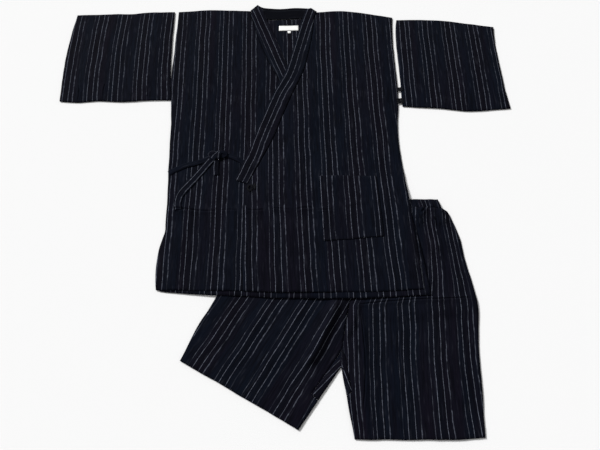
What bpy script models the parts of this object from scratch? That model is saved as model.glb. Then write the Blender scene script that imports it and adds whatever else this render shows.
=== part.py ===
"""A jinbei set laid out flat: a wrap top with its sleeves set on by open threads, and shorts half under it.

Lengths are in metres. X runs across the top, Y up from its hem to its shoulders, and Z up from the surface
that the set lies on. Left and right are as they are seen from above. Each piece of cloth is a solid of its
own. Pieces that lie on each other are cut from one plan, so their faces run side by side, a gap apart.
"""

import math
from collections import namedtuple

import bpy
from mathutils import Vector
from mathutils.bvhtree import BVHTree
from mathutils.geometry import delaunay_2d_cdt

# Walls, and the gaps between them
CLOTH = 0.0012
COLLAR_WALL = 0.0024
TIE_WALL = 0.0016
LABEL_WALL = 0.0010
GAP = 0.0003
DRAPE_GAP = 0.0008

# Spacing of the points over a panel and along its edges, and how near to an edge an inner point may be
LATTICE = 0.028
EDGE_STEP = 0.030
NEAR_EDGE = 0.45
SAME_POINT = 0.00001
ON_LINE = 0.0001
THINNEST = 0.0001
SHARP_CORNER = 0.4

# How cloth is eased over what lies below it
ABOVE_ALL = 1.0
SAMPLE = 0.006
EASING_ROUNDS = 30
LIFTING_ROUNDS = 24
EASED_RINGS = 3

# Middle of the laid set's outline, which becomes the origin
SET_MIDDLE = (-0.003, -0.0005)

# Edges of the top, each line from the neck outwards or from the shoulder down
SHOULDER_LEFT = ((-0.093, 0.556), (-0.195, 0.563), (-0.298, 0.559))
SHOULDER_RIGHT = ((0.095, 0.546), (0.161, 0.548), (0.218, 0.539), (0.307, 0.519))
ARMHOLE_SIDE_LEFT = ((-0.298, 0.559), (-0.300, 0.394), (-0.302, 0.312))
UNDERARM_LEFT = ((-0.302, 0.312), (-0.2973, 0.251))
SIDE_LEFT = (
    (-0.2973, 0.251),
    (-0.291, 0.160),
    (-0.289, 0.072),
    (-0.285, -0.028),
    (-0.284, -0.121),
)
SIDE_RIGHT = (
    (0.307, 0.519),
    (0.301, 0.461),
    (0.297, 0.375),
    (0.296, 0.293),
    (0.291, 0.219),
    (0.281, 0.142),
    (0.280, 0.054),
    (0.285, -0.046),
    (0.286, -0.101),
)
VENT_LEFT_FRONT = ((-0.284, -0.121), (-0.294, -0.165), (-0.297, -0.222), (-0.293, -0.260))
VENT_LEFT_BACK = ((-0.284, -0.121), (-0.280, -0.190), (-0.286, -0.2625))
VENT_RIGHT_FRONT = ((0.286, -0.101), (0.289, -0.183), (0.293, -0.277))
VENT_RIGHT_BACK = ((0.286, -0.101), (0.297, -0.183), (0.306, -0.291))
UNDER_CORNER = (0.083, -0.278)
OVER_CORNER = (-0.102, -0.269)
HEM_FRONT_LEFT = ((-0.293, -0.260), (-0.205, -0.264), OVER_CORNER)
HEM_FRONT_MIDDLE = (OVER_CORNER, (-0.010, -0.275), UNDER_CORNER)
HEM_FRONT_RIGHT = (UNDER_CORNER, (0.200, -0.280), (0.293, -0.277))
HEM_BACK = (
    (-0.286, -0.2625),
    (-0.2585, -0.267),
    (-0.222, -0.271),
    (-0.163, -0.276),
    (-0.109, -0.280),
    (0.021, -0.289),
    (0.151, -0.293),
    (0.306, -0.291),
)

# The neck, and the collar's two long edges on each side
NECK_LEFT = (-0.093, 0.556)
NECK_RIGHT = (0.095, 0.546)
NECKLINE_BACK = ((-0.089, 0.525), (0.018, 0.521), (0.086, 0.528))
COLLAR_TOP = ((-0.073, 0.577), (-0.057, 0.568), (-0.010, 0.5615), (0.035, 0.5645), (0.079, 0.561))
UNDER_SEAM = (
    (-0.089, 0.525),
    (-0.050, 0.390),
    (-0.030, 0.340),
    (-0.006, 0.283),
    (0.045, 0.140),
    (0.096, -0.004),
)
UNDER_FREE = ((-0.061, 0.565), (-0.025, 0.456), (0.011, 0.346), (0.068, 0.175), (0.127, 0.008))
OVER_SEAM = (
    (0.086, 0.528),
    (0.081, 0.483),
    (0.069, 0.415),
    (0.053, 0.346),
    (0.028, 0.284),
    (-0.010, 0.188),
    (-0.036, 0.119),
    (-0.096, -0.004),
)
OVER_FREE = (
    (0.065, 0.557),
    (0.039, 0.473),
    (0.012, 0.367),
    (-0.005, 0.318),
    (-0.036, 0.251),
    (-0.076, 0.141),
    (-0.101, 0.067),
    (-0.127, 0.008),
)
OVER_EDGE = ((-0.096, -0.004), (-0.101, -0.096), (-0.103, -0.183), OVER_CORNER)
UNDER_EDGE = ((0.096, -0.004), (0.090, -0.140), UNDER_CORNER)

# Small pieces that lie on the top
POCKET = ((0.079, 0.010), (0.214, 0.008), (0.217, -0.151), (0.077, -0.159))
NECK_LABEL = ((-0.013, 0.4985), (0.042, 0.4965), (0.041, 0.479), (-0.014, 0.480))
SIZE_TAB = ((0.010, 0.478), (0.020, 0.478), (0.019, 0.470), (0.011, 0.470))
TIE_WIDTH = 0.0135
TAIL_WIDTH = 0.018
TIE_SIDE_LINE = (
    (-0.2855, 0.031),
    (-0.265, 0.043),
    (-0.244, 0.052),
    (-0.222, 0.057),
    (-0.203, 0.065),
    (-0.184, 0.074),
)
TIE_COLLAR_LINE = ((-0.091, 0.046), (-0.104, 0.055), (-0.122, 0.067), (-0.139, 0.075), (-0.158, 0.078))
TAIL_LINE = (
    (-0.181, 0.071),
    (-0.197, 0.050),
    (-0.220, 0.019),
    (-0.255, -0.028),
    (-0.259, -0.047),
    (-0.256, -0.069),
)
END_LINE = ((-0.171, 0.067), (-0.1725, 0.045), (-0.171, 0.022))

# Knot of the two ties: a low lump with lobes, in rings that are a share of its height and of its reach
KNOT_MIDDLE = (-0.171, 0.0765)
KNOT_HALF = (0.0190, 0.0120)
KNOT_TURN = math.radians(3)
KNOT_HEIGHT = 0.005
KNOT_SIDES = 24
KNOT_RINGS = ((0.0, 0.80), (0.30, 1.0), (0.62, 0.92), (0.88, 0.66), (1.0, 0.34))
KNOT_LOBES = 3
LOBE_SHARE = 0.10

# Sleeves: each has its fold, cuff, seam and armhole. The left one is sewn to the top at the underarm.
FOLD_LEFT = ((-0.309, 0.559), (-0.386, 0.559), (-0.424, 0.5555), (-0.493, 0.557), (-0.583, 0.554))
CUFF_LEFT = ((-0.583, 0.554), (-0.589, 0.480), (-0.592, 0.403), (-0.590, 0.330), (-0.585, 0.256))
SEAM_LEFT = (
    (-0.585, 0.256),
    (-0.540, 0.251),
    (-0.482, 0.254),
    (-0.430, 0.249),
    (-0.378, 0.251),
    (-0.2973, 0.251),
)
ARMHOLE_LEFT = ((-0.302, 0.312), (-0.3055, 0.373), (-0.3075, 0.436), (-0.309, 0.559))
ARMHOLE_RIGHT = (
    (0.317, 0.509),
    (0.310, 0.461),
    (0.306, 0.375),
    (0.305, 0.293),
    (0.302, 0.250),
    (0.301, 0.212),
)
SEAM_RIGHT = ((0.301, 0.212), (0.350, 0.207), (0.397, 0.203), (0.450, 0.194), (0.499, 0.193), (0.578, 0.197))
CUFF_RIGHT = ((0.578, 0.197), (0.576, 0.285), (0.579, 0.400), (0.586, 0.474))
FOLD_RIGHT = ((0.586, 0.474), (0.523, 0.487), (0.441, 0.503), (0.380, 0.507), (0.317, 0.509))
BAR_HEIGHTS = ((0.262, 0.271), (0.222, 0.236))
BAR_WALL = 0.0015

# Shorts
WAIST_TOP = ((0.020, 0.030), (0.190, -0.052), (0.3525, -0.0585))
WAIST_SEAM_LEFT = ((0.010, 0.007), (0.183, -0.076))
WAIST_SEAM_RIGHT = ((0.183, -0.076), (0.357, -0.083))
CROTCH = (0.101, -0.435)
GUSSET_TOP = (0.105, -0.400)
CENTRE_SEAM = ((0.183, -0.076), (0.130, -0.290), GUSSET_TOP)
GUSSET_SEAM_LEFT = (GUSSET_TOP, (0.095, -0.413), (0.038, -0.485))
GUSSET_END_LEFT = ((0.038, -0.485), (0.050, -0.499))
GUSSET_SEAM_RIGHT = (GUSSET_TOP, (0.112, -0.417), (0.120, -0.484))
GUSSET_END_RIGHT = ((0.120, -0.484), (0.1085, -0.491))
OUTER_RIGHT = (
    (0.357, -0.083),
    (0.370, -0.0915),
    (0.381, -0.120),
    (0.390, -0.165),
    (0.393, -0.215),
    (0.403, -0.312),
    (0.392, -0.389),
    (0.380, -0.500),
    (0.372, -0.577),
)
OUTER_LEFT = (
    (0.010, 0.007),
    (-0.018, -0.018),
    (-0.046, -0.060),
    (-0.159, -0.276),
    (-0.199, -0.345),
    (-0.230, -0.412),
)
LEG_HEM_RIGHT = ((0.372, -0.577), (0.284, -0.578), (0.117, -0.572))
LEG_HEM_LEFT = ((-0.230, -0.412), (-0.085, -0.496), (0.009, -0.552))
INNER_RIGHT = ((0.117, -0.572), (0.113, -0.535), (0.1085, -0.491))
INNER_LEFT = ((0.009, -0.552), (0.028, -0.527), (0.050, -0.499))

# Waistband, drawn up on its elastic. Its rows are a share of its height and a share of the waves' rise.
WAVES_IN_WAIST = 26
PARTS_IN_PLAIN_BAND = 2
WAVE_RISE = 0.0022
BAND_ROWS = ((0.0, 0.0), (0.2, 1.0), (0.8, 1.0), (1.0, 0.0))
GATHERS_IN_LEG = 10
GATHER_RISE = 0.0034
GATHER_LENGTHS = (0.085, 0.050, 0.070, 0.042, 0.060)
GATHER_TURN_LEFT = math.radians(-27)
GATHER_TURN_RIGHT = math.radians(6)

# Folds: the ridge's two ends, how high it rises and how far it reaches to each side
FOLD_END = 0.15
Fold = namedtuple("Fold", "piece x0 y0 x1 y1 rise half_width")
FOLDS = (
    Fold("shorts_front_right", 0.165, -0.322, 0.396, -0.314, 0.0050, 0.022),
    Fold("shorts_front_right", 0.150, -0.290, 0.140, -0.520, 0.0055, 0.020),
    Fold("shorts_front_right", 0.330, -0.360, 0.300, -0.560, 0.0022, 0.034),
    Fold("shorts_front_left", 0.112, -0.275, 0.046, -0.400, 0.0085, 0.024),
    Fold("shorts_front_left", 0.020, -0.300, -0.070, -0.470, 0.0025, 0.032),
    Fold("front_under", -0.272, -0.068, -0.110, -0.075, 0.0018, 0.020),
    Fold("front_under", -0.262, -0.130, -0.262, -0.255, 0.0034, 0.026),
    Fold("front_under", -0.165, -0.120, -0.150, -0.262, 0.0024, 0.030),
    Fold("front_under", -0.190, 0.500, -0.225, 0.260, 0.0030, 0.034),
    Fold("front_under", -0.110, 0.330, -0.150, 0.180, 0.0022, 0.030),
    Fold("front_over", -0.095, -0.076, 0.060, -0.077, 0.0018, 0.020),
    Fold("front_over", 0.250, 0.380, 0.222, 0.130, 0.0036, 0.034),
    Fold("front_over", 0.150, 0.420, 0.095, 0.170, 0.0028, 0.034),
    Fold("front_over", 0.040, 0.180, 0.010, -0.030, 0.0026, 0.034),
    Fold("front_over", 0.245, -0.170, 0.256, -0.274, 0.0030, 0.026),
    Fold("front_over", 0.030, -0.170, 0.022, -0.272, 0.0026, 0.030),
    Fold("sleeve_left_front", -0.370, 0.530, -0.392, 0.270, 0.0030, 0.030),
    Fold("sleeve_left_front", -0.490, 0.520, -0.500, 0.268, 0.0028, 0.030),
    Fold("sleeve_right_front", 0.385, 0.485, 0.372, 0.220, 0.0030, 0.030),
    Fold("sleeve_right_front", 0.500, 0.460, 0.476, 0.205, 0.0034, 0.030),
)

# Colours as linear light
NAVY = (0.008, 0.009, 0.016)
WHITE = (0.80, 0.80, 0.78)
CLOTH_ROUGHNESS = 0.85

Piece = namedtuple("Piece", "name outline on wall colour")


def clear_scene():
    """Starts from an empty scene."""
    for old in list(bpy.data.objects):
        bpy.data.objects.remove(old, do_unlink=True)


def material(name, colour, roughness):
    """A plain finish in one colour."""
    made = bpy.data.materials.get(name) or bpy.data.materials.new(name)
    made.use_nodes = True
    shader = made.node_tree.nodes["Principled BSDF"]
    shader.inputs["Base Color"].default_value = (*colour, 1.0)
    shader.inputs["Roughness"].default_value = roughness
    shader.inputs["Metallic"].default_value = 0.0
    return made


def add_solid(name, corners, faces, colour):
    """An object from its corners and faces, moved so that the set's middle is the origin."""
    mesh = bpy.data.meshes.new(name)
    moved = [(x - SET_MIDDLE[0], y - SET_MIDDLE[1], z) for x, y, z in corners]
    mesh.from_pydata(moved, [], faces)
    mesh.validate()
    mesh.update()
    made = bpy.data.objects.new(name, mesh)
    made.data.materials.append(material(name + "_cloth", colour, CLOTH_ROUGHNESS))
    bpy.context.scene.collection.objects.link(made)
    return made


def back_along(line):
    """The same line from its other end."""
    return tuple(reversed(line))


def curved(line):
    """The smooth curve through a line's points, as points a step apart at most."""
    points = [line[0]]
    for k, (b, c) in enumerate(zip(line, line[1:])):
        a = line[k - 1] if k else b
        d = line[k + 2] if k + 2 < len(line) else c
        parts = max(1, math.ceil(math.dist(b, c) / EDGE_STEP))
        for n in range(1, parts + 1):
            t = n / parts
            points.append(tuple(spline_at(t, *ordinates) for ordinates in zip(a, b, c, d)))
    return points


def spline_at(t, a, b, c, d):
    """The value at a share t of the way from b to c, on a smooth run from a to d."""
    out, into = (c - a) / 2, (d - b) / 2
    return b + t * (out + t * (3 * (c - b) - 2 * out - into + t * (2 * (b - c) + out + into)))


def joined(*lines):
    """One closed outline of smooth lines that meet end to end."""
    points = []
    for line in lines:
        for point in curved(line):
            if not points or math.dist(point, points[-1]) > SAME_POINT:
                points.append(point)
    if math.dist(points[0], points[-1]) <= SAME_POINT:
        points.pop()
    return tuple(points)


def between(a, b, share):
    """The point at a share of the way from a to b."""
    return tuple(p + (q - p) * share for p, q in zip(a, b))


def spaced(line, closed):
    """The line with points added wherever two are more than a step apart."""
    ends = line[1:] + line[:1] if closed else line[1:]
    points = []
    for a, b in zip(line, ends):
        parts = max(1, math.ceil(math.dist(a, b) / EDGE_STEP))
        points += [between(a, b, k / parts) for k in range(parts)]
    return points if closed else points + [line[-1]]


def ribbon(line, width):
    """The outline of a tie of that width along a line."""
    sides = []
    for k, (x, y) in enumerate(line):
        before, after = line[max(k - 1, 0)], line[min(k + 1, len(line) - 1)]
        run = Vector((after[0] - before[0], after[1] - before[1])).normalized()
        across, up = -run.y * width / 2, run.x * width / 2
        sides.append(((x + across, y + up), (x - across, y - up)))
    return tuple(left for left, _ in sides) + tuple(right for _, right in reversed(sides))


def inside(point, outline):
    """Whether a point lies within an outline."""
    x, y = point
    crossings = 0
    for (ax, ay), (bx, by) in zip(outline, outline[1:] + outline[:1]):
        if (ay > y) != (by > y) and x < ax + (bx - ax) * (y - ay) / (by - ay):
            crossings += 1
    return crossings % 2 == 1


def to_segment(point, a, b):
    """How far a point is from a segment, and its share of the way along it."""
    dx, dy = b[0] - a[0], b[1] - a[1]
    share = ((point[0] - a[0]) * dx + (point[1] - a[1]) * dy) / max(dx * dx + dy * dy, SAME_POINT**2)
    share = min(1.0, max(0.0, share))
    return math.dist(point, (a[0] + dx * share, a[1] + dy * share)), share


def lattice_points(outlines, walls):
    """Points of an even triangular lattice that lie within an outline and clear of every wall."""
    xs = [x for outline in outlines for x, _ in outline]
    ys = [y for outline in outlines for _, y in outline]
    row_step = LATTICE * math.sqrt(3) / 2
    kept = []
    for row in range(math.floor(min(ys) / row_step), math.ceil(max(ys) / row_step) + 1):
        for column in range(math.floor(min(xs) / LATTICE), math.ceil(max(xs) / LATTICE) + 1):
            point = ((column + row % 2 / 2) * LATTICE, row * row_step)
            if not any(inside(point, outline) for outline in outlines):
                continue
            if all(to_segment(point, a, b)[0] > NEAR_EDGE * LATTICE for a, b in walls):
                kept.append(point)
    return kept


def draw_plan(outlines, creases):
    """Flat triangles within the outlines, whose edges follow every outline and crease, and their points."""
    points, edges = [], []
    for line, closed in [(o, True) for o in outlines] + [(c, False) for c in creases]:
        run = spaced(line, closed)
        first = len(points)
        points += run
        edges += [(first + k, first + k + 1) for k in range(len(run) - 1)]
        if closed:
            edges.append((first + len(run) - 1, first))
    points += lattice_points(outlines, [(points[a], points[b]) for a, b in edges])
    flat = [Vector(point) for point in points]
    corners, _, faces, *_ = delaunay_2d_cdt(flat, edges, [], 0, SAME_POINT)
    corners = [tuple(corner) for corner in corners]
    whole = [counterclockwise(corners, face) for face in faces if thickness(corners, face) > THINNEST]
    cloth = {face for outline in outlines for face in faces_within(corners, whole, outline)}
    return corners, sorted(cloth)


def twice_area(corners, face):
    """Twice the area of a flat triangle, below zero where its front is turned down."""
    a, b, c = (corners[k] for k in face)
    return (b[0] - a[0]) * (c[1] - a[1]) - (b[1] - a[1]) * (c[0] - a[0])


def thickness(corners, face):
    """How far a triangle reaches from its longest edge, which is nothing where its corners are in line."""
    a, b, c = (corners[k] for k in face)
    return abs(twice_area(corners, face)) / max(math.dist(a, b), math.dist(b, c), math.dist(c, a))


def counterclockwise(corners, face):
    """The face's corners in the order that turns its front up."""
    return tuple(face) if twice_area(corners, face) > 0 else tuple(reversed(face))


def faces_within(corners, faces, outline):
    """The plan's triangles whose middle is within an outline."""
    return [f for f in faces if inside([sum(corners[k][i] for k in f) / 3 for i in (0, 1)], outline)]


def rim_of(faces):
    """The edges that have a face on one side only, each with the cloth on its left."""
    edges = {(f[k], f[(k + 1) % 3]) for f in faces for k in range(3)}
    return [edge for edge in edges if (edge[1], edge[0]) not in edges]


def drawn_in(corners, rim):
    """The rim's points moved half a gap into the cloth, so that pieces sewn edge to edge stay apart."""
    inward = {}
    for a, b in rim:
        run = Vector((corners[b][0] - corners[a][0], corners[b][1] - corners[a][1])).normalized()
        for k in (a, b):
            inward.setdefault(k, []).append(Vector((-run.y, run.x)))
    moved = {}
    for k, normals in inward.items():
        total = sum(normals, Vector((0.0, 0.0)))
        share = max(SHARP_CORNER, total.length_squared / len(normals) ** 2)
        shift = total / len(normals) / share * GAP / 2
        moved[k] = (corners[k][0] + shift.x, corners[k][1] + shift.y)
    return moved


def fold_rise(name, point):
    """How high the folds of a piece lift it at a point."""
    rise = 0.0
    for fold in FOLDS:
        if fold.piece == name:
            away, share = to_segment(point, (fold.x0, fold.y0), (fold.x1, fold.y1))
            across = max(0.0, 1 - (away / fold.half_width) ** 2)
            along = math.sin(math.pi * (FOLD_END + (1 - 2 * FOLD_END) * share))
            rise = max(rise, fold.rise * across**2 * along)
    return rise


def wall_between(corners, faces, low, wall, name, colour):
    """A closed solid: the faces at their low heights, again a wall higher, and the strip between."""
    rim = rim_of(faces)
    moved = drawn_in(corners, rim)
    used = sorted(low)
    place = {k: i for i, k in enumerate(used)}
    flat = [moved.get(k, corners[k]) for k in used]
    points = [(x, y, low[k]) for (x, y), k in zip(flat, used)]
    points += [(x, y, low[k] + wall) for (x, y), k in zip(flat, used)]
    up = len(used)
    sides = [tuple(place[k] + up for k in f) for f in faces]
    sides += [tuple(place[k] for k in reversed(f)) for f in faces]
    for a, b in sorted(rim):
        sides.append((place[a], place[b], place[b] + up, place[a] + up))
    return add_solid(name, points, sides, colour)


def lay(pieces, plan, floor, extra_rise=None):
    """Makes the pieces one on another, and gives each one's upper heights at the plan's points."""
    corners, faces = plan
    tops = {}
    for piece in pieces:
        cut = faces_within(corners, faces, piece.outline)
        low = {}
        for k in sorted({k for f in cut for k in f}):
            under = [tops[name][k] + GAP for name in piece.on if k in tops[name]]
            low[k] = max([floor[k]] + under) + fold_rise(piece.name, corners[k])
            if extra_rise:
                low[k] += extra_rise(piece.name, corners[k])
        wall_between(corners, cut, low, piece.wall, piece.name, piece.colour)
        tops[piece.name] = {k: z + piece.wall for k, z in low.items()}
    return tops


def fold_lines(names):
    """The ridges of the folds of some pieces, as lines for a plan."""
    return [((f.x0, f.y0), (f.x1, f.y1)) for f in FOLDS if f.piece in names]


def surface_over(objects):
    """A surface to rest cloth on: the faces of the given solids."""
    points, faces = [], []
    for made in objects:
        first = len(points)
        points += [vertex.co for vertex in made.data.vertices]
        faces += [tuple(first + k for k in polygon.vertices) for polygon in made.data.polygons]
    return BVHTree.FromPolygons(points, faces)


def height_at(surface, x, y):
    """How high the surface is under a point, or nothing where there is none."""
    start = Vector((x - SET_MIDDLE[0], y - SET_MIDDLE[1], ABOVE_ALL))
    hit = surface.ray_cast(start, Vector((0, 0, -1)))[0]
    return hit.z if hit else None


def tests_over(plan, surface):
    """Places on the plan's triangles that have the surface below them, with the height needed there."""
    corners, faces = plan
    tests = []
    for face in faces:
        a, b, c = (corners[k] for k in face)
        parts = math.ceil(max(math.dist(a, b), math.dist(b, c), math.dist(c, a)) / SAMPLE)
        for i in range(parts + 1):
            for j in range(parts + 1 - i):
                share = (i / parts, j / parts, 1 - (i + j) / parts)
                x, y = (sum(s * p[n] for s, p in zip(share, (a, b, c))) for n in (0, 1))
                found = height_at(surface, x, y)
                if found is not None:
                    tests.append((face, share, found + DRAPE_GAP))
    return tests


def drape(plan, surface):
    """Heights of the plan's points: eased down to the floor around what lies below, and clear of it."""
    corners, faces = plan
    tests = tests_over(plan, surface)
    near = {k: {k} for k in range(len(corners))}
    for face in faces:
        for k in face:
            near[k].update(face)
    sloped = {k for face, _, _ in tests for k in face}
    for _ in range(EASED_RINGS - 1):
        sloped = {n for k in sloped for n in near[k]}
    heights = [0.0] * len(corners)
    for turn in range(EASING_ROUNDS + LIFTING_ROUNDS):
        if turn < EASING_ROUNDS:
            eased = {k: sum(heights[n] for n in near[k]) / len(near[k]) for k in sloped}
            for k, height in eased.items():
                heights[k] = height
        for face, share, needed in tests:
            short = needed - sum(heights[k] * s for k, s in zip(face, share))
            if short > 0:
                spread = sum(s * s for s in share)
                for k, s in zip(face, share):
                    heights[k] += short * s / spread
    return heights


def gather_lines():
    """The ridges and hollows that the elastic draws into the front of each leg, below the waistband."""
    rows = []
    for side, seam, turn in (
        ("shorts_front_left", WAIST_SEAM_LEFT, GATHER_TURN_LEFT),
        ("shorts_front_right", WAIST_SEAM_RIGHT, GATHER_TURN_RIGHT),
    ):
        for k in range(2 * GATHERS_IN_LEG - 1):
            top = between(seam[0], seam[1], (k + 1) / (2 * GATHERS_IN_LEG))
            long = GATHER_LENGTHS[k // 2 % len(GATHER_LENGTHS)]
            end = (top[0] + math.sin(turn) * long, top[1] - math.cos(turn) * long)
            rows.append((side, k % 2 == 0, (top, between(top, end, 0.5), end)))
    return rows


def gather_rise(name, point):
    """How high the gathers lift a leg at a point of their own lines."""
    for side, ridge, line in gather_lines():
        if side == name and ridge:
            away, share = to_segment(point, line[0], line[-1])
            if away < ON_LINE:
                return GATHER_RISE * (1 - share)
    return 0.0


def make_waistband(base):
    """The back of the band lies plain, and the front on it is drawn into waves."""
    left_low, middle_low = WAIST_SEAM_LEFT
    right_low = WAIST_SEAM_RIGHT[1]
    lower = (left_low, middle_low, right_low)
    for name, waves, low, rise in (
        ("waistband_back", PARTS_IN_PLAIN_BAND, base, 0.0),
        ("waistband_front", WAVES_IN_WAIST, base + CLOTH + GAP, WAVE_RISE),
    ):
        add_band(name, lower, waves, low, rise)


def add_band(name, lower, waves, low, rise):
    """A strip between the waist's two lines, flat below and with waves of that rise above."""
    columns = 2 * waves
    points = []
    for column in range(columns + 1):
        half, share = divmod(2 * column / columns, 1)
        start = min(int(half), 1)
        share = share if start == int(half) else 1.0
        top = between(WAIST_TOP[start], WAIST_TOP[start + 1], share)
        bottom = between(lower[start], lower[start + 1], share)
        drop = Vector((bottom[0] - top[0], bottom[1] - top[1]))
        inset = GAP / drop.length
        for along, swell in BAND_ROWS:
            x, y = between(top, bottom, inset + along * (1 - 2 * inset))
            high = low + CLOTH + rise * swell * (column % 2)
            points += [(x, y, low), (x, y, high)]
    rows = len(BAND_ROWS)
    faces = []
    for column in range(columns):
        for row in range(rows - 1):
            a = 2 * (column * rows + row)
            b = a + 2 * rows
            faces.append((a, a + 2, b + 2, b))
            faces += [(a + 1, b + 1, a + 3), (b + 1, b + 3, a + 3)]
    for row in range(rows - 1):
        a = 2 * row
        b = 2 * (columns * rows + row)
        faces += [(a, a + 1, a + 3, a + 2), (b, b + 2, b + 3, b + 1)]
    for column in range(columns):
        a = 2 * column * rows
        b = a + 2 * rows
        c, d = a + 2 * (rows - 1), b + 2 * (rows - 1)
        faces += [(a, b, b + 1, a + 1), (c, c + 1, d + 1, d)]
    add_solid(name, points, [tuple(reversed(f)) for f in faces], NAVY)


def make_shorts():
    """Two legs and a gusset between them, each a front on a back, below a waistband on elastic."""
    right = joined(
        WAIST_SEAM_RIGHT,
        OUTER_RIGHT,
        LEG_HEM_RIGHT,
        INNER_RIGHT,
        back_along(GUSSET_END_RIGHT),
        back_along(GUSSET_SEAM_RIGHT),
        back_along(CENTRE_SEAM),
    )
    left = joined(
        WAIST_SEAM_LEFT,
        CENTRE_SEAM,
        GUSSET_SEAM_LEFT,
        GUSSET_END_LEFT,
        back_along(INNER_LEFT),
        back_along(LEG_HEM_LEFT),
        back_along(OUTER_LEFT),
    )
    gusset = joined(
        GUSSET_SEAM_LEFT,
        GUSSET_END_LEFT,
        (GUSSET_END_LEFT[1], CROTCH),
        (CROTCH, GUSSET_END_RIGHT[1]),
        back_along(GUSSET_END_RIGHT),
        back_along(GUSSET_SEAM_RIGHT),
    )
    pieces = (
        Piece("shorts_back_left", left, (), CLOTH, NAVY),
        Piece("shorts_back_right", right, (), CLOTH, NAVY),
        Piece("gusset_back", gusset, (), CLOTH, NAVY),
        Piece("shorts_front_left", left, ("shorts_back_left",), CLOTH, NAVY),
        Piece("shorts_front_right", right, ("shorts_back_right",), CLOTH, NAVY),
        Piece("gusset_front", gusset, ("gusset_back",), CLOTH, NAVY),
    )
    names = [piece.name for piece in pieces]
    creases = fold_lines(names) + [line for _, _, line in gather_lines()]
    plan = draw_plan([left, right, gusset], creases)
    lay(pieces, plan, [0.0] * len(plan[0]), gather_rise)
    make_waistband(0.0)


def make_top(surface):
    """Back, two fronts crossed over it, collar, pocket, label and ties, in the order that they lie."""
    back = joined(
        SHOULDER_LEFT,
        ARMHOLE_SIDE_LEFT,
        UNDERARM_LEFT,
        SIDE_LEFT,
        VENT_LEFT_BACK,
        HEM_BACK,
        back_along(VENT_RIGHT_BACK),
        back_along(SIDE_RIGHT),
        back_along(SHOULDER_RIGHT),
        (NECK_RIGHT, OVER_SEAM[0]),
        back_along(NECKLINE_BACK),
        (UNDER_SEAM[0], NECK_LEFT),
    )
    under = joined(
        SHOULDER_LEFT,
        ARMHOLE_SIDE_LEFT,
        UNDERARM_LEFT,
        SIDE_LEFT,
        VENT_LEFT_FRONT,
        HEM_FRONT_LEFT,
        HEM_FRONT_MIDDLE,
        back_along(UNDER_EDGE),
        back_along(UNDER_SEAM),
        (UNDER_SEAM[0], NECK_LEFT),
    )
    over = joined(
        (NECK_RIGHT, OVER_SEAM[0]),
        OVER_SEAM,
        OVER_EDGE,
        HEM_FRONT_MIDDLE,
        HEM_FRONT_RIGHT,
        back_along(VENT_RIGHT_FRONT),
        back_along(SIDE_RIGHT),
        back_along(SHOULDER_RIGHT),
    )
    collar_back = joined(
        (NECK_LEFT, COLLAR_TOP[0]),
        COLLAR_TOP,
        (COLLAR_TOP[-1], NECK_RIGHT),
        (NECK_RIGHT, OVER_SEAM[0]),
        back_along(NECKLINE_BACK),
        (UNDER_SEAM[0], NECK_LEFT),
    )
    collar_under = joined(
        (NECK_LEFT, UNDER_SEAM[0]),
        UNDER_SEAM,
        (UNDER_SEAM[-1], UNDER_FREE[-1]),
        back_along(UNDER_FREE),
        (UNDER_FREE[0], COLLAR_TOP[0]),
        (COLLAR_TOP[0], NECK_LEFT),
    )
    collar_over = joined(
        (NECK_RIGHT, OVER_SEAM[0]),
        OVER_SEAM,
        (OVER_SEAM[-1], OVER_FREE[-1]),
        back_along(OVER_FREE),
        (OVER_FREE[0], COLLAR_TOP[-1]),
        (COLLAR_TOP[-1], NECK_RIGHT),
    )
    tie_side = ribbon(TIE_SIDE_LINE, TIE_WIDTH)
    tie_collar = ribbon(TIE_COLLAR_LINE, TIE_WIDTH)
    tail = ribbon(TAIL_LINE, TAIL_WIDTH)
    tie_end = ribbon(END_LINE, TIE_WIDTH)
    pieces = (
        Piece("back", back, (), CLOTH, NAVY),
        Piece("collar_back", collar_back, (), COLLAR_WALL, NAVY),
        Piece("neck_label", NECK_LABEL, ("back",), LABEL_WALL, WHITE),
        Piece("size_tab", SIZE_TAB, ("back",), LABEL_WALL, WHITE),
        Piece("front_under", under, ("back",), CLOTH, NAVY),
        Piece("collar_under", collar_under, ("back", "collar_back"), COLLAR_WALL, NAVY),
        Piece("tie_side", tie_side, ("front_under",), TIE_WALL, NAVY),
        Piece("tie_collar", tie_collar, ("front_under",), TIE_WALL, NAVY),
        Piece("tie_tail", tail, ("front_under", "tie_side"), TIE_WALL, NAVY),
        Piece("tie_end", tie_end, ("front_under", "tie_side", "tie_tail"), TIE_WALL, NAVY),
        Piece("front_over", over, ("back", "front_under", "collar_under", "tie_collar"), CLOTH, NAVY),
        Piece(
            "collar_over",
            collar_over,
            ("back", "collar_back", "front_under", "collar_under", "tie_collar"),
            COLLAR_WALL,
            NAVY,
        ),
        Piece("pocket", POCKET, ("front_over",), CLOTH, NAVY),
    )
    names = [piece.name for piece in pieces]
    plan = draw_plan([piece.outline for piece in pieces], fold_lines(names))
    tops = lay(pieces, plan, drape(plan, surface))
    near_knot = [
        z
        for name in ("front_under", "tie_side", "tie_collar", "tie_tail", "tie_end")
        for k, z in tops[name].items()
        if math.dist(plan[0][k], KNOT_MIDDLE) < LATTICE + KNOT_HALF[0]
    ]
    make_knot(max(near_knot) + GAP)


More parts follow.
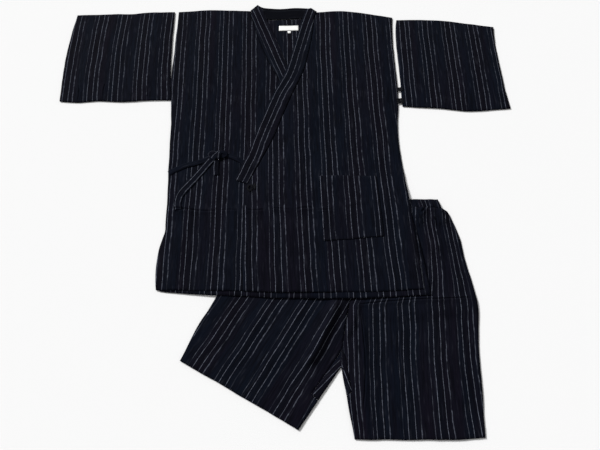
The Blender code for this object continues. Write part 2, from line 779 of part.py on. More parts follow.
def make_knot(base):
    """The knot that holds the two ties, a low lump with lobes between their ends."""
    points = []
    for rise, share in KNOT_RINGS:
        for k in range(KNOT_SIDES):
            angle = math.tau * k / KNOT_SIDES
            reach = share * (1 + LOBE_SHARE * math.cos(KNOT_LOBES * angle))
            x = KNOT_HALF[0] * reach * math.cos(angle)
            y = KNOT_HALF[1] * reach * math.sin(angle)
            across = KNOT_MIDDLE[0] + x * math.cos(KNOT_TURN) - y * math.sin(KNOT_TURN)
            up = KNOT_MIDDLE[1] + x * math.sin(KNOT_TURN) + y * math.cos(KNOT_TURN)
            points.append((across, up, base + KNOT_HEIGHT * rise))
    faces = [tuple(reversed(range(KNOT_SIDES)))]
    for ring in range(len(KNOT_RINGS) - 1):
        for k in range(KNOT_SIDES):
            a, b = ring * KNOT_SIDES + k, ring * KNOT_SIDES + (k + 1) % KNOT_SIDES
            faces.append((a, b, b + KNOT_SIDES, a + KNOT_SIDES))
    faces.append(tuple(range((len(KNOT_RINGS) - 1) * KNOT_SIDES, len(KNOT_RINGS) * KNOT_SIDES)))
    add_solid("tie_knot", points, faces, NAVY)


def make_sleeves():
    """Each sleeve is a flat tube, its front layer on its back one."""
    for side, outline in (
        ("left", joined(FOLD_LEFT, CUFF_LEFT, SEAM_LEFT, back_along(UNDERARM_LEFT), ARMHOLE_LEFT)),
        ("right", joined(ARMHOLE_RIGHT, SEAM_RIGHT, CUFF_RIGHT, FOLD_RIGHT)),
    ):
        back_name, front_name = f"sleeve_{side}_back", f"sleeve_{side}_front"
        plan = draw_plan([outline], fold_lines([front_name]))
        pieces = (
            Piece(back_name, outline, (), CLOTH, NAVY),
            Piece(front_name, outline, (back_name,), CLOTH, NAVY),
        )
        lay(pieces, plan, [0.0] * len(plan[0]))


def across_at(line, height):
    """Where a line that runs down the set is at a height."""
    points = curved(line)
    for (ax, ay), (bx, by) in zip(points, points[1:]):
        if by <= height <= ay:
            return ax + (bx - ax) * (height - ay) / (by - ay)
    raise ValueError(f"the line doesn't reach {height}")


def make_thread_bars():
    """Bars of crossed threads that hold the right sleeve to the top at the end of the armhole."""
    for number, (low, high) in enumerate(BAR_HEIGHTS, 1):
        outline = [
            (across_at(SIDE_RIGHT, low) + GAP, low),
            (across_at(ARMHOLE_RIGHT, low) - GAP, low),
            (across_at(ARMHOLE_RIGHT, high) - GAP, high),
            (across_at(SIDE_RIGHT, high) + GAP, high),
        ]
        points = [(x, y, 0.0) for x, y in outline] + [(x, y, BAR_WALL) for x, y in outline]
        faces = [(3, 2, 1, 0), (4, 5, 6, 7)] + [(k, (k + 1) % 4, (k + 1) % 4 + 4, k + 4) for k in range(4)]
        add_solid(f"thread_bar_{number}", points, faces, NAVY)


def main():
    clear_scene()
    make_shorts()
    make_top(surface_over(list(bpy.data.objects)))
    make_sleeves()
    make_thread_bars()


main()
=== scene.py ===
"""Looks of a jinbei set laid out flat: striped crepe cotton, its folds, hems, seams, ties and stage.

Lengths are in metres, in the part's own frame: X across the top, Y up to its shoulders, Z up from the
surface. Every piece of cloth is a thin shell over its own solid, with finer folds. A map gives each point's
place across and along the cloth, which the stripes follow.
"""

import math
from collections import namedtuple

import bmesh
import bpy
import numpy as np
from mathutils import Matrix, Vector, noise
from mathutils.bvhtree import BVHTree
from mathutils.geometry import delaunay_2d_cdt


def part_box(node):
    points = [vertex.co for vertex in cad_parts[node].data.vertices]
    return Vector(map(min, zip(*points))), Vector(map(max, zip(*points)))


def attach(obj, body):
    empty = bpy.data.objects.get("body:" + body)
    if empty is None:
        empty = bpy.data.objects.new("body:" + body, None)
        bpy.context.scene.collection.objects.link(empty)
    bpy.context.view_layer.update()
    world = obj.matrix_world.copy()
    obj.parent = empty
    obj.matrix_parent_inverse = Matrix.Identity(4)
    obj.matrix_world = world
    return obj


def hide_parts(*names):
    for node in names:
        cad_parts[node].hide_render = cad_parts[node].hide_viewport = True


def table(kind, *rows):
    """Rows of a table, each with its values named."""
    return tuple(kind(*row) for row in rows)


# Shells of cloth
SHELL = 0.0007
CLEAR = 0.00018
FLOOR_CLEAR = 0.00005
FACES_UP = 0.02
SAME_POINT = 0.000001
SHARP_TURN = math.radians(24)
EDGE_SINK = 0.00025
MISS = 0.05
ABOVE_ALL = 0.2
NEAR_EDGE = 0.55
FINE_MESH = 0.0055
CREASE_CLEAR = 0.0008
SMOOTHING = 0.5

# Stripes of the cloth, in one repeat
REPEAT = 0.0645
Line = namedtuple("Line", "place width strength evenness wobble")
LINES = (
    Line(-0.0105, 0.0011, 0.46, 0.45, 0.0008),
    Line(0.0, 0.001, 1.0, 0.95, 0.0003),
    Line(0.015, 0.001, 0.95, 0.92, 0.0003),
    Line(0.0265, 0.0021, 0.52, 0.42, 0.0016),
)

# Pieces that lie flat in one direction of the cloth. Across the cloth a point of the piece is at
# start + across * x + along * y + twist * x * y + bend * y * y.
Grain = namedtuple("Grain", "start across along twist bend", defaults=(0.0, 0.0))
GRAINS = {
    "back": Grain(-0.0112, 1.0, 0.0),
    "front_under": Grain(0.2343, 1.0263, -0.0168, -0.0547, 0.015),
    "front_over": Grain(-0.0974, 0.9959, 0.0042, -0.0129, -0.0305),
    "pocket": Grain(-0.0816, 0.9913, 0.0005),
    "sleeve_left": Grain(0.4844, 1.0038, 0.1717, 0.0232, -0.1767),
    "sleeve_right": Grain(-0.3037, 0.9989, -0.0561, 0.0347, -0.0033),
    "leg_left": Grain(-0.0692, 0.851, -0.5641),
    "waist": Grain(-0.456, 1.5, 0.26),
    "gusset_left": Grain(-0.3885, 0.676, -0.737),
    "gusset_right": Grain(0.043, 0.944, 0.331),
    "label": Grain(0.0, 1.0, 0.0),
}
GUSSET_MIDDLE = 0.105
FAR_REPEATS = 4

# How the right leg's stripes run down from the gathers: a height, and each repeat's first line there
LEG_RIGHT_ROWS = (
    (-0.56, 0.12, 0.165, 0.227, 0.29, 0.354),
    (-0.502, 0.119, 0.167, 0.229, 0.292, 0.354),
    (-0.424, 0.119, 0.171, 0.233, 0.296, 0.358),
    (-0.362, 0.121, 0.176, 0.24, 0.303, 0.364),
    (-0.308, 0.125, 0.18, 0.243, 0.306, 0.369),
    (-0.25, 0.157, 0.21, 0.263, 0.317, 0.37),
    (-0.174, 0.188, 0.233, 0.278, 0.323, 0.368),
    (-0.114, 0.19, 0.234, 0.278, 0.322, 0.366),
    (-0.08, 0.195, 0.238, 0.281, 0.324, 0.367),
)

# Where a fold pulls the stripes aside: a line, how far it reaches, and the shift at its start and its end,
# near which it fades
Pull = namedtuple("Pull", "grain x0 y0 x1 y1 reach at_start at_end")
PULLS = (Pull("leg_left", 0.106, -0.306, 0.001, -0.482, 0.01, -0.0024, -0.006),)
PULL_END = 0.45

# Pieces whose stripes run along one of their own edges: that edge's ends, the stripe's place at the edge,
# and which way its repeat runs from there
Guide = namedtuple("Guide", "x0 y0 x1 y1 at_edge way")
GUIDES = {
    "collar_over": Guide(0.068, 0.563, -0.124, 0.008, -0.005, 1),
    "collar_under": Guide(0.13, 0.008, -0.058, 0.565, 0.0257, -1),
    "collar_back": Guide(0.082, 0.5615, -0.07, 0.5775, 0.0175, 1),
    "tie_side": Guide(-0.183, 0.081, -0.283, 0.038, 0.033, 1),
    "tie_collar": Guide(-0.086, 0.052, -0.155, 0.085, 0.033, 1),
    "tie_tail": Guide(-0.186, 0.077, -0.262, -0.07, 0.0115, 1),
    "tie_end": Guide(-0.175, 0.068, -0.175, 0.0225, -0.0015, 1),
}

# Kinds of cloth: which finish each has, and which of the set's materials it is
KINDS = {
    "panel": ("stripe", "striped_cloth"),
    "collar": ("stripe", "collar_cloth"),
    # The inside finish is the striped cotton darkened towards black: painted shade on the inside of the
    # back neck
    "facing": ("inside", "collar_cloth"),
    "tie": ("stripe", "tie_cloth"),
    "label": ("label", "label_cloth"),
}

# The pieces in the order that they lie: solid, grain, step of the mesh, rounds of smoothing, the cut's
# width, length and area, what it rests on, and its kind
Cloth = namedtuple("Cloth", "node grain step rounds width length area on kind", defaults=("", "panel"))
CLOTHS = table(
    Cloth,
    ("shorts_back_left", "leg_left", 0.012, 3, 0.33, 0.52, 0.14),
    ("shorts_back_right", "leg_right", 0.012, 3, 0.33, 0.52, 0.14),
    ("gusset_back", "gusset", 0.008, 3, 0.045, 0.19, 0.003),
    ("shorts_front_left", "leg_left", 0.005, 14, 0.33, 0.52, 0.14, "shorts_back_left"),
    ("shorts_front_right", "leg_right", 0.005, 14, 0.33, 0.52, 0.14, "shorts_back_right"),
    ("gusset_front", "gusset", 0.004, 6, 0.045, 0.19, 0.003, "gusset_back"),
    ("waistband_back", "waist", 0.008, 2, 0.42, 0.028, 0.0117),
    ("waistband_front", "waist", 0.0025, 2, 0.42, 0.028, 0.0117, "waistband_back"),
    ("back", "back", 0.0065, 14, 0.62, 0.85, 0.48, "shorts_front_left shorts_front_right"),
    # The back collar takes the finish with painted shade
    ("collar_back", "collar_back", 0.004, 4, 0.19, 0.05, 0.0077, "back", "facing"),
    ("neck_label", "label", 0.003, 4, 0.055, 0.025, 0.00135, "back", "label"),
    ("size_tab", "label", 0.002, 2, 0.01, 0.012, 0.0001, "back", "label"),
    ("front_under", "front_under", 0.005, 14, 0.41, 0.86, 0.265, "back"),
    ("collar_under", "collar_under", 0.004, 6, 0.045, 0.6, 0.027, "back", "collar"),
    ("tie_side", "tie_side", 0.003, 4, 0.0135, 0.09, 0.0012, "front_under", "tie"),
    ("tie_collar", "tie_collar", 0.003, 4, 0.0135, 0.06, 0.0008, "front_under", "tie"),
    ("tie_tail", "tie_tail", 0.003, 4, 0.018, 0.15, 0.0026, "front_under", "tie"),
    ("tie_end", "tie_end", 0.003, 4, 0.0135, 0.045, 0.0006, "front_under", "tie"),
    ("front_over", "front_over", 0.005, 14, 0.42, 0.85, 0.26, "front_under back"),
    ("collar_over", "collar_over", 0.004, 6, 0.045, 0.62, 0.027, "front_under back", "collar"),
    ("pocket", "pocket", 0.004, 8, 0.14, 0.17, 0.0225, "front_over"),
    ("sleeve_left_back", "sleeve_left", 0.01, 3, 0.29, 0.31, 0.084),
    ("sleeve_left_front", "sleeve_left", 0.005, 14, 0.29, 0.31, 0.084, "sleeve_left_back"),
    ("sleeve_right_back", "sleeve_right", 0.01, 3, 0.29, 0.31, 0.083),
    ("sleeve_right_front", "sleeve_right", 0.005, 14, 0.29, 0.31, 0.083, "sleeve_right_back"),
)

# Which pieces share their folds, so that layers keep their order
GROUPS = {
    "shorts": ("shorts_", "gusset_", "waistband_"),
    "sleeve_left": ("sleeve_left_",),
    "sleeve_right": ("sleeve_right_",),
}

# Creases, each along a slightly bowed line: a soft ridge that rises and reaches so far, and a groove of its
# own half width along its crest, down to the ridge's foot
CREASE_PARTS = 10
CREASE_STEP = 0.004
GROOVE_ROWS = (-2.4, -1.6, -1.0, -0.5, 0.0, 0.5, 1.0, 1.6, 2.4)
CREASE_END = 0.1
Crease = namedtuple("Crease", "x0 y0 x1 y1 bow rise half_width groove", defaults=(0.0,))
CREASES = {
    "top": table(
        Crease,
        (-0.268, -0.064, -0.215, -0.07, 0.03, 0.0056, 0.014, 0.0032),
        (-0.222, -0.069, -0.166, -0.072, -0.03, 0.003, 0.012, 0.0023),
        (-0.156, -0.071, -0.116, -0.073, 0.04, 0.002, 0.011, 0.0021),
        (-0.098, -0.072, -0.054, -0.075, -0.04, 0.003, 0.012, 0.0023),
        (-0.04, -0.074, 0.008, -0.079, 0.05, 0.002, 0.011, 0.0021),
        (0.022, -0.078, 0.06, -0.075, 0.06, 0.0036, 0.012, 0.0027),
        (0.072, -0.078, 0.104, -0.08, -0.04, 0.002, 0.01, 0.002),
        (0.125, -0.072, 0.272, -0.056, 0.03, 0.0014, 0.012),
        (-0.106, -0.052, -0.101, -0.086, 0.1, 0.0056, 0.01, 0.0032),
        (-0.09, -0.006, -0.086, -0.026, 0.55, 0.0022, 0.006, 0.0014),
        (-0.083, -0.006, -0.082, -0.027, -0.6, 0.0022, 0.006, 0.0014),
        (-0.262, 0.24, -0.246, 0.08, 0.06, 0.0016, 0.024),
        (-0.215, 0.53, -0.232, 0.3, -0.03, 0.0015, 0.028),
        (-0.14, 0.5, -0.165, 0.25, 0.04, 0.0013, 0.03),
        (-0.09, 0.29, -0.15, 0.12, 0.05, 0.0016, 0.026),
        (-0.19, 0.04, -0.17, -0.05, 0.05, 0.0014, 0.02),
        (-0.23, -0.09, -0.245, -0.25, -0.06, 0.0019, 0.024),
        (-0.14, -0.1, -0.128, -0.255, 0.05, 0.0016, 0.022),
        (-0.06, -0.1, -0.07, -0.262, 0.04, 0.0015, 0.022),
        (0.01, -0.11, 0.0, -0.265, -0.05, 0.0017, 0.02),
        (0.14, 0.5, 0.15, 0.3, 0.05, 0.0014, 0.028),
        (0.23, 0.5, 0.215, 0.27, -0.04, 0.0017, 0.026),
        (0.262, 0.28, 0.24, 0.1, 0.05, 0.0018, 0.024),
        (0.09, 0.33, 0.06, 0.13, -0.05, 0.0015, 0.028),
        (0.01, 0.12, -0.03, -0.02, 0.06, 0.0016, 0.024),
        (0.258, -0.05, 0.262, -0.255, 0.04, 0.0016, 0.022),
        (0.115, -0.175, 0.11, -0.27, 0.05, 0.0012, 0.02),
    ),
    "shorts": table(
        Crease,
        (0.101, -0.296, 0.032, -0.43, 0.04, 0.011, 0.0165),
        (0.146, -0.296, 0.122, -0.372, 0.04, 0.007, 0.014),
        (0.15, -0.305, 0.397, -0.298, 0.012, 0.0036, 0.01, 0.0018),
        (0.15, -0.318, 0.142, -0.52, 0.04, 0.003, 0.01, 0.0016),
        (0.1385, -0.318, 0.128, -0.48, 0.04, 0.0024, 0.008, 0.0014),
        (0.2925, -0.076, 0.297, -0.104, 0.05, 0.0085, 0.013, 0.0032),
        (0.2985, -0.1, 0.3085, -0.121, -0.04, 0.008, 0.014, 0.0036),
        (0.3225, -0.078, 0.311, -0.092, 0.1, 0.008, 0.012, 0.0028),
        (0.331, -0.088, 0.337, -0.255, 0.04, 0.0036, 0.008, 0.0014),
        (0.339, -0.1, 0.3445, -0.125, 0.1, 0.0075, 0.012, 0.003),
        (0.357, -0.086, 0.366, -0.12, 0.08, 0.0036, 0.008, 0.0014),
        (0.178, -0.325, 0.39, -0.322, -0.03, 0.0022, 0.022),
        (0.3, -0.34, 0.292, -0.54, 0.03, 0.002, 0.026),
        (0.225, -0.35, 0.214, -0.5, -0.04, 0.0016, 0.024),
        (0.352, -0.345, 0.345, -0.52, 0.04, 0.0017, 0.02),
        (0.03, -0.31, -0.055, -0.45, 0.03, 0.002, 0.024),
        (-0.04, -0.3, -0.12, -0.42, -0.03, 0.0018, 0.024),
        (-0.11, -0.3, -0.18, -0.4, 0.03, 0.0015, 0.02),
    ),
    "sleeve_left": table(
        Crease,
        (-0.35, 0.53, -0.362, 0.29, 0.04, 0.0018, 0.022),
        (-0.432, 0.54, -0.44, 0.275, -0.03, 0.0016, 0.024),
        (-0.53, 0.53, -0.54, 0.28, 0.03, 0.0015, 0.022),
        (-0.36, 0.3, -0.355, 0.262, 0.05, 0.0021, 0.012, 0.0013),
        (-0.47, 0.31, -0.468, 0.262, -0.05, 0.002, 0.012, 0.0013),
        (-0.54, 0.31, -0.535, 0.258, 0.05, 0.0017, 0.012, 0.0013),
    ),
    "sleeve_right": table(
        Crease,
        (0.345, 0.49, 0.334, 0.24, -0.03, 0.0017, 0.022),
        (0.43, 0.48, 0.42, 0.23, 0.03, 0.0018, 0.024),
        (0.54, 0.465, 0.53, 0.22, -0.03, 0.0015, 0.022),
        (0.4, 0.26, 0.398, 0.214, 0.05, 0.0022, 0.012, 0.0013),
        (0.47, 0.25, 0.462, 0.206, -0.05, 0.002, 0.012, 0.0013),
    ),
}

# Gathers that a drawn-in seam makes: along its line, waves to a metre, how high, and how far they reach
Gather = namedtuple("Gather", "group x0 y0 x1 y1 to_a_metre rise reach")
GATHERS = (
    Gather("shorts", 0.186, -0.075, 0.36, -0.084, 75.0, 0.006, 0.04),
    Gather("shorts", 0.01, 0.0, 0.186, -0.075, 75.0, 0.004, 0.03),
)
GATHER_DRIFT = 9.0

# What is added to a noise about zero, so that it mostly lifts
LIFT = 0.5

# Swells of the cloth: how many to a metre, and how high
SWELLS = ((13.0, 0.0007), (38.0, 0.0003), (120.0, 0.0001))

# Waviness of edges and stripes: how many waves to a metre, and how far they reach
FLUTTERS = ((17.0, 0.0012), (48.0, 0.0005))
FLUTTER_SEEDS = (0.3, 5.8)

# Edges that are turned up or stitched: where each starts and ends on the rim, how wide the turned-up band
# is, and how far in its stitches run
FOLDED_RISE = 0.00035
FOLDED_EASE = 0.0015
PUCKER_RISE = 0.00022
PUCKER_REACH = 0.006
PUCKERS_TO_A_METRE = 85.0
Edge = namedtuple("Edge", "node x0 y0 x1 y1 folded inset")
EDGES = table(
    Edge,
    ("back", -0.269, -0.243, 0.309, -0.291, 0.02, 0.0185),
    ("front_under", -0.281, -0.121, -0.29, -0.26, 0.012, 0.0105),
    ("front_under", -0.29, -0.26, 0.086, -0.278, 0.02, 0.0185),
    ("front_over", -0.093, -0.004, -0.099, -0.269, 0.014, 0.0125),
    ("front_over", -0.099, -0.269, 0.296, -0.277, 0.02, 0.0185),
    ("front_over", 0.296, -0.277, 0.289, -0.101, 0.012, 0.0105),
    ("sleeve_left_front", -0.58, 0.554, -0.582, 0.256, 0.025, 0.0235),
    ("sleeve_right_front", 0.581, 0.197, 0.589, 0.474, 0.025, 0.0235),
    ("shorts_front_left", -0.227, -0.412, 0.012, -0.552, 0.02, 0.0185),
    ("shorts_front_right", 0.12, -0.572, 0.375, -0.577, 0.02, 0.0185),
    ("pocket", 0.217, 0.008, 0.082, 0.01, 0.028, 0.0265),
    ("pocket", 0.082, 0.01, 0.08, -0.159, 0.0, 0.0018),
    ("pocket", 0.08, -0.159, 0.22, -0.151, 0.0, 0.0018),
    ("pocket", 0.22, -0.151, 0.217, 0.008, 0.0, 0.0018),
    ("collar_over", -0.093, -0.004, 0.089, 0.528, 0.0, 0.0016),
    ("collar_over", -0.124, 0.008, -0.093, -0.004, 0.0, 0.002),
    ("collar_under", -0.086, 0.525, 0.099, -0.004, 0.0, 0.0016),
    ("collar_back", -0.086, 0.525, 0.089, 0.528, 0.0, 0.002),
    ("waistband_front", 0.186, -0.059, 0.37, -0.087, 0.0, 0.002),
    ("neck_label", 0.045, 0.504, -0.01, 0.505, 0.0, 0.002),
)
STITCH_STEP = 0.0034
STITCH_HALF = 0.0012
STITCH_THICK = 0.00022
SPINDLE = ((-1.0, 0.25), (-0.6, 1.0), (0.6, 1.0), (1.0, 0.25))
SPINDLE_SIDES = ((1, 0), (0, 1), (-1, 0), (0, -1))

# Strips of folded cloth and strands of thread
BAND_SIDES = 10
BAND_SQUARE = 0.6
PATH_PARTS = 6

# The knot's strips: width, the stripe's place along its middle, and a path from the knot's middle, the last
# number of each point a share of the knot's height
KNOT_WALL = 0.0012
TIE_IN = ((0.024, 0.001, 0.05), (0.013, 0.003, 0.4), (0.004, 0.001, 0.55), (-0.005, -0.002, 0.4))
TIE_OUT = ((-0.021, -0.008, 0.02), (-0.012, -0.004, 0.32), (-0.003, 0.0, 0.45))
LOOP_RIGHT = (
    (0.001, 0.001, 0.45),
    (0.008, 0.007, 0.8),
    (0.016, 0.007, 0.7),
    (0.0195, 0.001, 0.42),
    (0.013, -0.003, 0.22),
    (0.005, -0.002, 0.2),
)
LOOP_LEFT = (
    (0.0, 0.0, 0.4),
    (-0.007, 0.006, 0.72),
    (-0.015, 0.0075, 0.66),
    (-0.019, 0.003, 0.45),
    (-0.014, -0.003, 0.24),
    (-0.006, -0.004, 0.2),
)
TURN_BELOW = (
    (-0.013, -0.011, 0.1),
    (-0.007, -0.004, 0.72),
    (0.0, 0.003, 0.95),
    (0.005, 0.008, 0.7),
    (0.007, 0.01, 0.3),
)
TURN_ABOVE = (
    (0.002, -0.011, 0.02),
    (0.002, -0.007, 0.8),
    (0.003, 0.0, 1.15),
    (0.004, 0.007, 0.85),
    (0.005, 0.011, 0.1),
)
KNOT_STRIPS = (
    (0.011, 0.04, TIE_IN),
    (0.011, 0.04, TIE_OUT),
    (0.0085, 0.04, LOOP_RIGHT),
    (0.008, 0.019, LOOP_LEFT),
    (0.0125, -0.004, TURN_BELOW),
    (0.0095, 0.0, TURN_ABOVE),
)

# Threads of the bars between the sleeve and the top, as shares of each bar's box
BAR_THREADS = (
    (0.0, 0.12),
    (0.16, 0.05),
    (0.1, 0.4),
    (0.42, 0.22),
    (0.34, 0.6),
    (0.66, 0.48),
    (0.58, 0.86),
    (0.9, 0.74),
    (0.96, 1.0),
)
BAR_REACH = 0.004
BAR_LIFT = 0.0028
BAR_SAG = 0.0006
THREAD_WIDTH = 0.0022

# Tacks of thread on the over front: middles, half sizes, and the turns of thread in each
Tack = namedtuple("Tack", "x y half_width half_height turns")
TACKS = (Tack(-0.0865, -0.016, 0.004, 0.0062, 3), Tack(-0.0755, -0.012, 0.0006, 0.0066, 2))
TACK_WIDTH = 0.0014
TACK_LIFT = 0.0012
TACK_STEP = 0.0014
TACK_SIDES = 16

# Colours
NAVY = (0.0029, 0.0036, 0.0074, 1.0)
BLUE = (0.0025, 0.0039, 0.0082, 1.0)
PLUM = (0.0036, 0.0032, 0.0068, 1.0)
BLACK = (0.0013, 0.0015, 0.003, 1.0)
PALE = (0.122, 0.136, 0.172, 1.0)
DULL = (0.066, 0.069, 0.091, 1.0)
TAPE = (0.82, 0.82, 0.8, 1.0)
TAPE_SHADE = (0.74, 0.74, 0.73, 1.0)
THREAD = (0.0032, 0.0036, 0.006, 1.0)
FLOOR = (0.93, 0.93, 0.93, 1.0)
WHITE = (1.0, 1.0, 1.0, 1.0)

# Noises that run with the cloth: waves to a metre across and along it, and each one's seed and detail
Run = namedtuple("Run", "across along seed detail")
DRIFT = Run(9.0, 11.0, 3.0, 2.0)
PATCHES = Run(21.0, 1.6, 12.0, 1.0)
BLOOM = Run(34.0, 2.0, 20.0, 1.0)
STREAKS = Run(900.0, 45.0, 2.0, 3.0)
SHADES = Run(260.0, 14.0, 31.0, 3.0)
FLECKS = Run(190.0, 22.0, 47.0, 3.0)
SLUBS = Run(500.0, 160.0, 7.0, 2.0)
CREPE = Run(700.0, 220.0, 4.0, 3.0)
SPOTS = Run(300.0, 300.0, 1.0, 2.0)
NOISE_MIDDLE = 0.5

# Noises along each pale line, whose own number takes the place of across
SWAY = Run(1.0, 55.0, 1.7, 1.0)
SWELLING = Run(1.0, 130.0, 5.1, 2.0)
BREAKS = Run(1.0, 26.0, 9.4, 3.0)
REPEAT_SEED = 7.31
LINE_SEED = 3.7

# Pale lines: how far they drift, how wide they swell, how their edges fade, and how much of them shows
DRIFT_REACH = 0.0032
SWELL_BAND = (0.3, 0.7, 0.65, 1.25)
EDGE_BAND = (0.55, 1.25, 1.0, 0.0)
BREAK_LEVEL = 0.62
BREAK_EVENNESS = 0.34
BREAK_EASE = 0.07
WORN_LEAST = 0.14
WORN_EVENNESS = 0.5
SLUB_LEVELS = (0.35, 0.65)

# Tints that noises bring into the dark ground: from which level to which, up to how much of which colour
Tint = namedtuple("Tint", "run low high most colour")
BROAD_TINTS = (Tint(PATCHES, 0.4, 0.6, 1.0, PLUM), Tint(BLOOM, 0.45, 0.7, 0.8, NAVY))
FINE_TINTS = (
    Tint(STREAKS, 0.45, 0.75, 0.55, BLACK),
    Tint(SHADES, 0.42, 0.68, 0.75, BLACK),
    Tint(FLECKS, 0.55, 0.8, 0.12, DULL),
)
PAIR_MIDDLE = 0.0075
PAIR_BAND = (0.004, 0.014, 0.35, 0.0)
# How far the inside finish is darkened towards black: painted shade for the inside of the back neck
PAINTED_SHADE_DEPTH = 0.88

# Surface of the cotton
COTTON = {"Specular IOR Level": 0.03, "Sheen Weight": 0.004, "Sheen Roughness": 0.5}
ROUGHNESS_BAND = (0.3, 0.7, 0.82, 0.95)
COTTON_STEPS = (0.00075, 0.00085)
WEAVE_HEIGHT = 0.12
LINE_HEIGHT = 0.8
COTTON_BUMP = (0.00035, 0.6)

# Surfaces of the tape, the thread and the floor
TAPE_STEPS = (0.0005, 0.0004)
TAPE_LEVELS = (0.3, 0.7)
TAPE_ROUGHNESS = 0.7
TAPE_BUMP = (0.0001, 0.4)
PLAIN_NOISE = {"Scale": 900.0, "Detail": 2.0}
PLAIN_DEPTH = 0.6
PLAIN_SPECULAR = 0.1
PLAIN_BUMP = (0.0002, 0.4)
THREAD_ROUGHNESS = 0.8
FLOOR_ROUGHNESS = 0.9

# Sockets of the node that mixes colours
MIX_INPUTS = (0, 6, 7)
MIX_OUTPUT = 2

# The camera at the picture's angle, and the stage
CAMERA_PLACE = Vector((0.0149, -0.5831, 1.0575))
CAMERA_AIM = Vector((0.0295, -0.1125, 0.0))
CAMERA_UP = Vector((0.0311, 0.9995, 0.0))
CAMERA_LENS = 30.05
CAMERA_NEAR = 0.01
FLOOR_HALF = 6.0
FLOOR_SINK = 0.0002
SKY_STRENGTH = 0.45
LAMP_ANGLE = math.radians(16)
LAMP_ENERGY = 4.2
LAMP_WAY = Vector((0.62, -0.52, -0.64))


def group_of(name):
    """The pieces that a piece folds with."""
    for group, starts in GROUPS.items():
        if name.startswith(starts):
            return group
    return "top"


def main_rim(node):
    """The upper side of a solid: its faces as a tree for rays, and its rim in order."""
    mesh = bmesh.new()
    mesh.from_mesh(node.data)
    bmesh.ops.remove_doubles(mesh, verts=mesh.verts, dist=SAME_POINT)
    up = [face for face in mesh.faces if face.normal.z > FACES_UP]
    onward = {}
    shown = set(up)
    for face in up:
        for loop in face.loops:
            if not any(other in shown for other in loop.edge.link_faces if other is not face):
                onward[loop.vert.index] = loop.link_loop_next.vert.index
    mesh.verts.ensure_lookup_table()
    start = min(onward)
    order = [start]
    while onward[order[-1]] != start:
        order.append(onward[order[-1]])
    rim = np.array([mesh.verts[k].co for k in order])
    points = [vertex.co.copy() for vertex in mesh.verts]
    tree = BVHTree.FromPolygons(points, [[vertex.index for vertex in face.verts] for face in up])
    mesh.free()
    return tree, rim


def finer_rim(rim, step):
    """The rim as a smooth curve through its points, a step apart, with its sharp corners kept."""
    before, after = np.roll(rim, 1, axis=0), np.roll(rim, -1, axis=0)
    into = unit(rim[:, :2] - before[:, :2])
    out = unit(after[:, :2] - rim[:, :2])
    sharp = (into * out).sum(1) < math.cos(SHARP_TURN)
    through = unit(into + out)
    points = []
    for k in range(len(rim)):
        n = (k + 1) % len(rim)
        long = np.linalg.norm(rim[n, :2] - rim[k, :2])
        leave = (out[k] if sharp[k] else through[k]) * long
        arrive = (out[k] if sharp[n] else through[n]) * long
        parts = max(1, math.ceil(long / step))
        for part in range(parts):
            t = part / parts
            flat = (
                (2 * t**3 - 3 * t**2 + 1) * rim[k, :2]
                + (t**3 - 2 * t**2 + t) * leave
                + (3 * t**2 - 2 * t**3) * rim[n, :2]
                + (t**3 - t**2) * arrive
            )
            points.append((*flat, rim[k, 2] + (rim[n, 2] - rim[k, 2]) * t))
    return np.array(points)


def unit(vectors):
    """The vectors at length one."""
    return vectors / np.maximum(np.linalg.norm(vectors, axis=1, keepdims=True), SAME_POINT)


def to_line(points, line, closed=False):
    """Each point's distance from a line, and how far along the line its nearest place is."""
    starts = line if closed else line[:-1]
    ends = np.roll(line, -1, axis=0) if closed else line[1:]
    run = ends - starts
    long = np.maximum(np.linalg.norm(run, axis=1), SAME_POINT)
    passed = np.concatenate([[0.0], np.cumsum(long)[:-1]])
    best = np.full(len(points), np.inf)
    along = np.zeros(len(points))
    for a, r, l, p in zip(starts, run, long, passed):
        share = np.clip(((points - a) @ r) / l**2, 0, 1)
        away = np.linalg.norm(points - a - share[:, None] * r, axis=1)
        closer = away < best
        best[closer] = away[closer]
        along[closer] = (p + share * l)[closer]
    return best, along


def passed_on(line):
    """How far along a line each of its points is."""
    return np.concatenate([[0.0], np.cumsum(np.linalg.norm(np.diff(line, axis=0), axis=1))])


def left_of(tangent):
    """The directions to the left of a line's own."""
    return np.stack([-tangent[:, 1], tangent[:, 0]], axis=1)


def within(points, outline):
    """Which points lie inside a closed outline."""
    x, y = points[:, 0], points[:, 1]
    crossings = np.zeros(len(points), dtype=int)
    for (ax, ay), (bx, by) in zip(outline, np.roll(outline, -1, axis=0)):
        if ay != by:
            spans = (ay > y) != (by > y)
            crossings += spans & (x < ax + (bx - ax) * (y - ay) / (by - ay))
    return crossings % 2 == 1


def lattice(outline, step):
    """Points of an even triangular lattice inside an outline, clear of its edge."""
    row_step = step * math.sqrt(3) / 2
    low, high = outline.min(0), outline.max(0)
    rows = np.arange(math.floor(low[1] / row_step), math.ceil(high[1] / row_step) + 1)
    columns = np.arange(math.floor(low[0] / step), math.ceil(high[0] / step) + 1)
    column, row = np.meshgrid(columns, rows)
    points = np.stack([(column + row % 2 / 2) * step, row * row_step], axis=-1).reshape(-1, 2)
    points = points[within(points, outline)]
    return points[to_line(points, outline, True)[0] > NEAR_EDGE * step]


def drop(tree, x, y):
    """Where a straight fall from above meets a tree, if it does."""
    return tree.ray_cast(Vector((x, y, ABOVE_ALL)), Vector((0, 0, -1)))[0]


def height_on(tree, x, y, guess):
    """How high the upper side of a solid is at a place, or at the nearest place that it has."""
    hit = drop(tree, x, y) or tree.find_nearest(Vector((x, y, guess)), MISS)[0]
    return hit.z


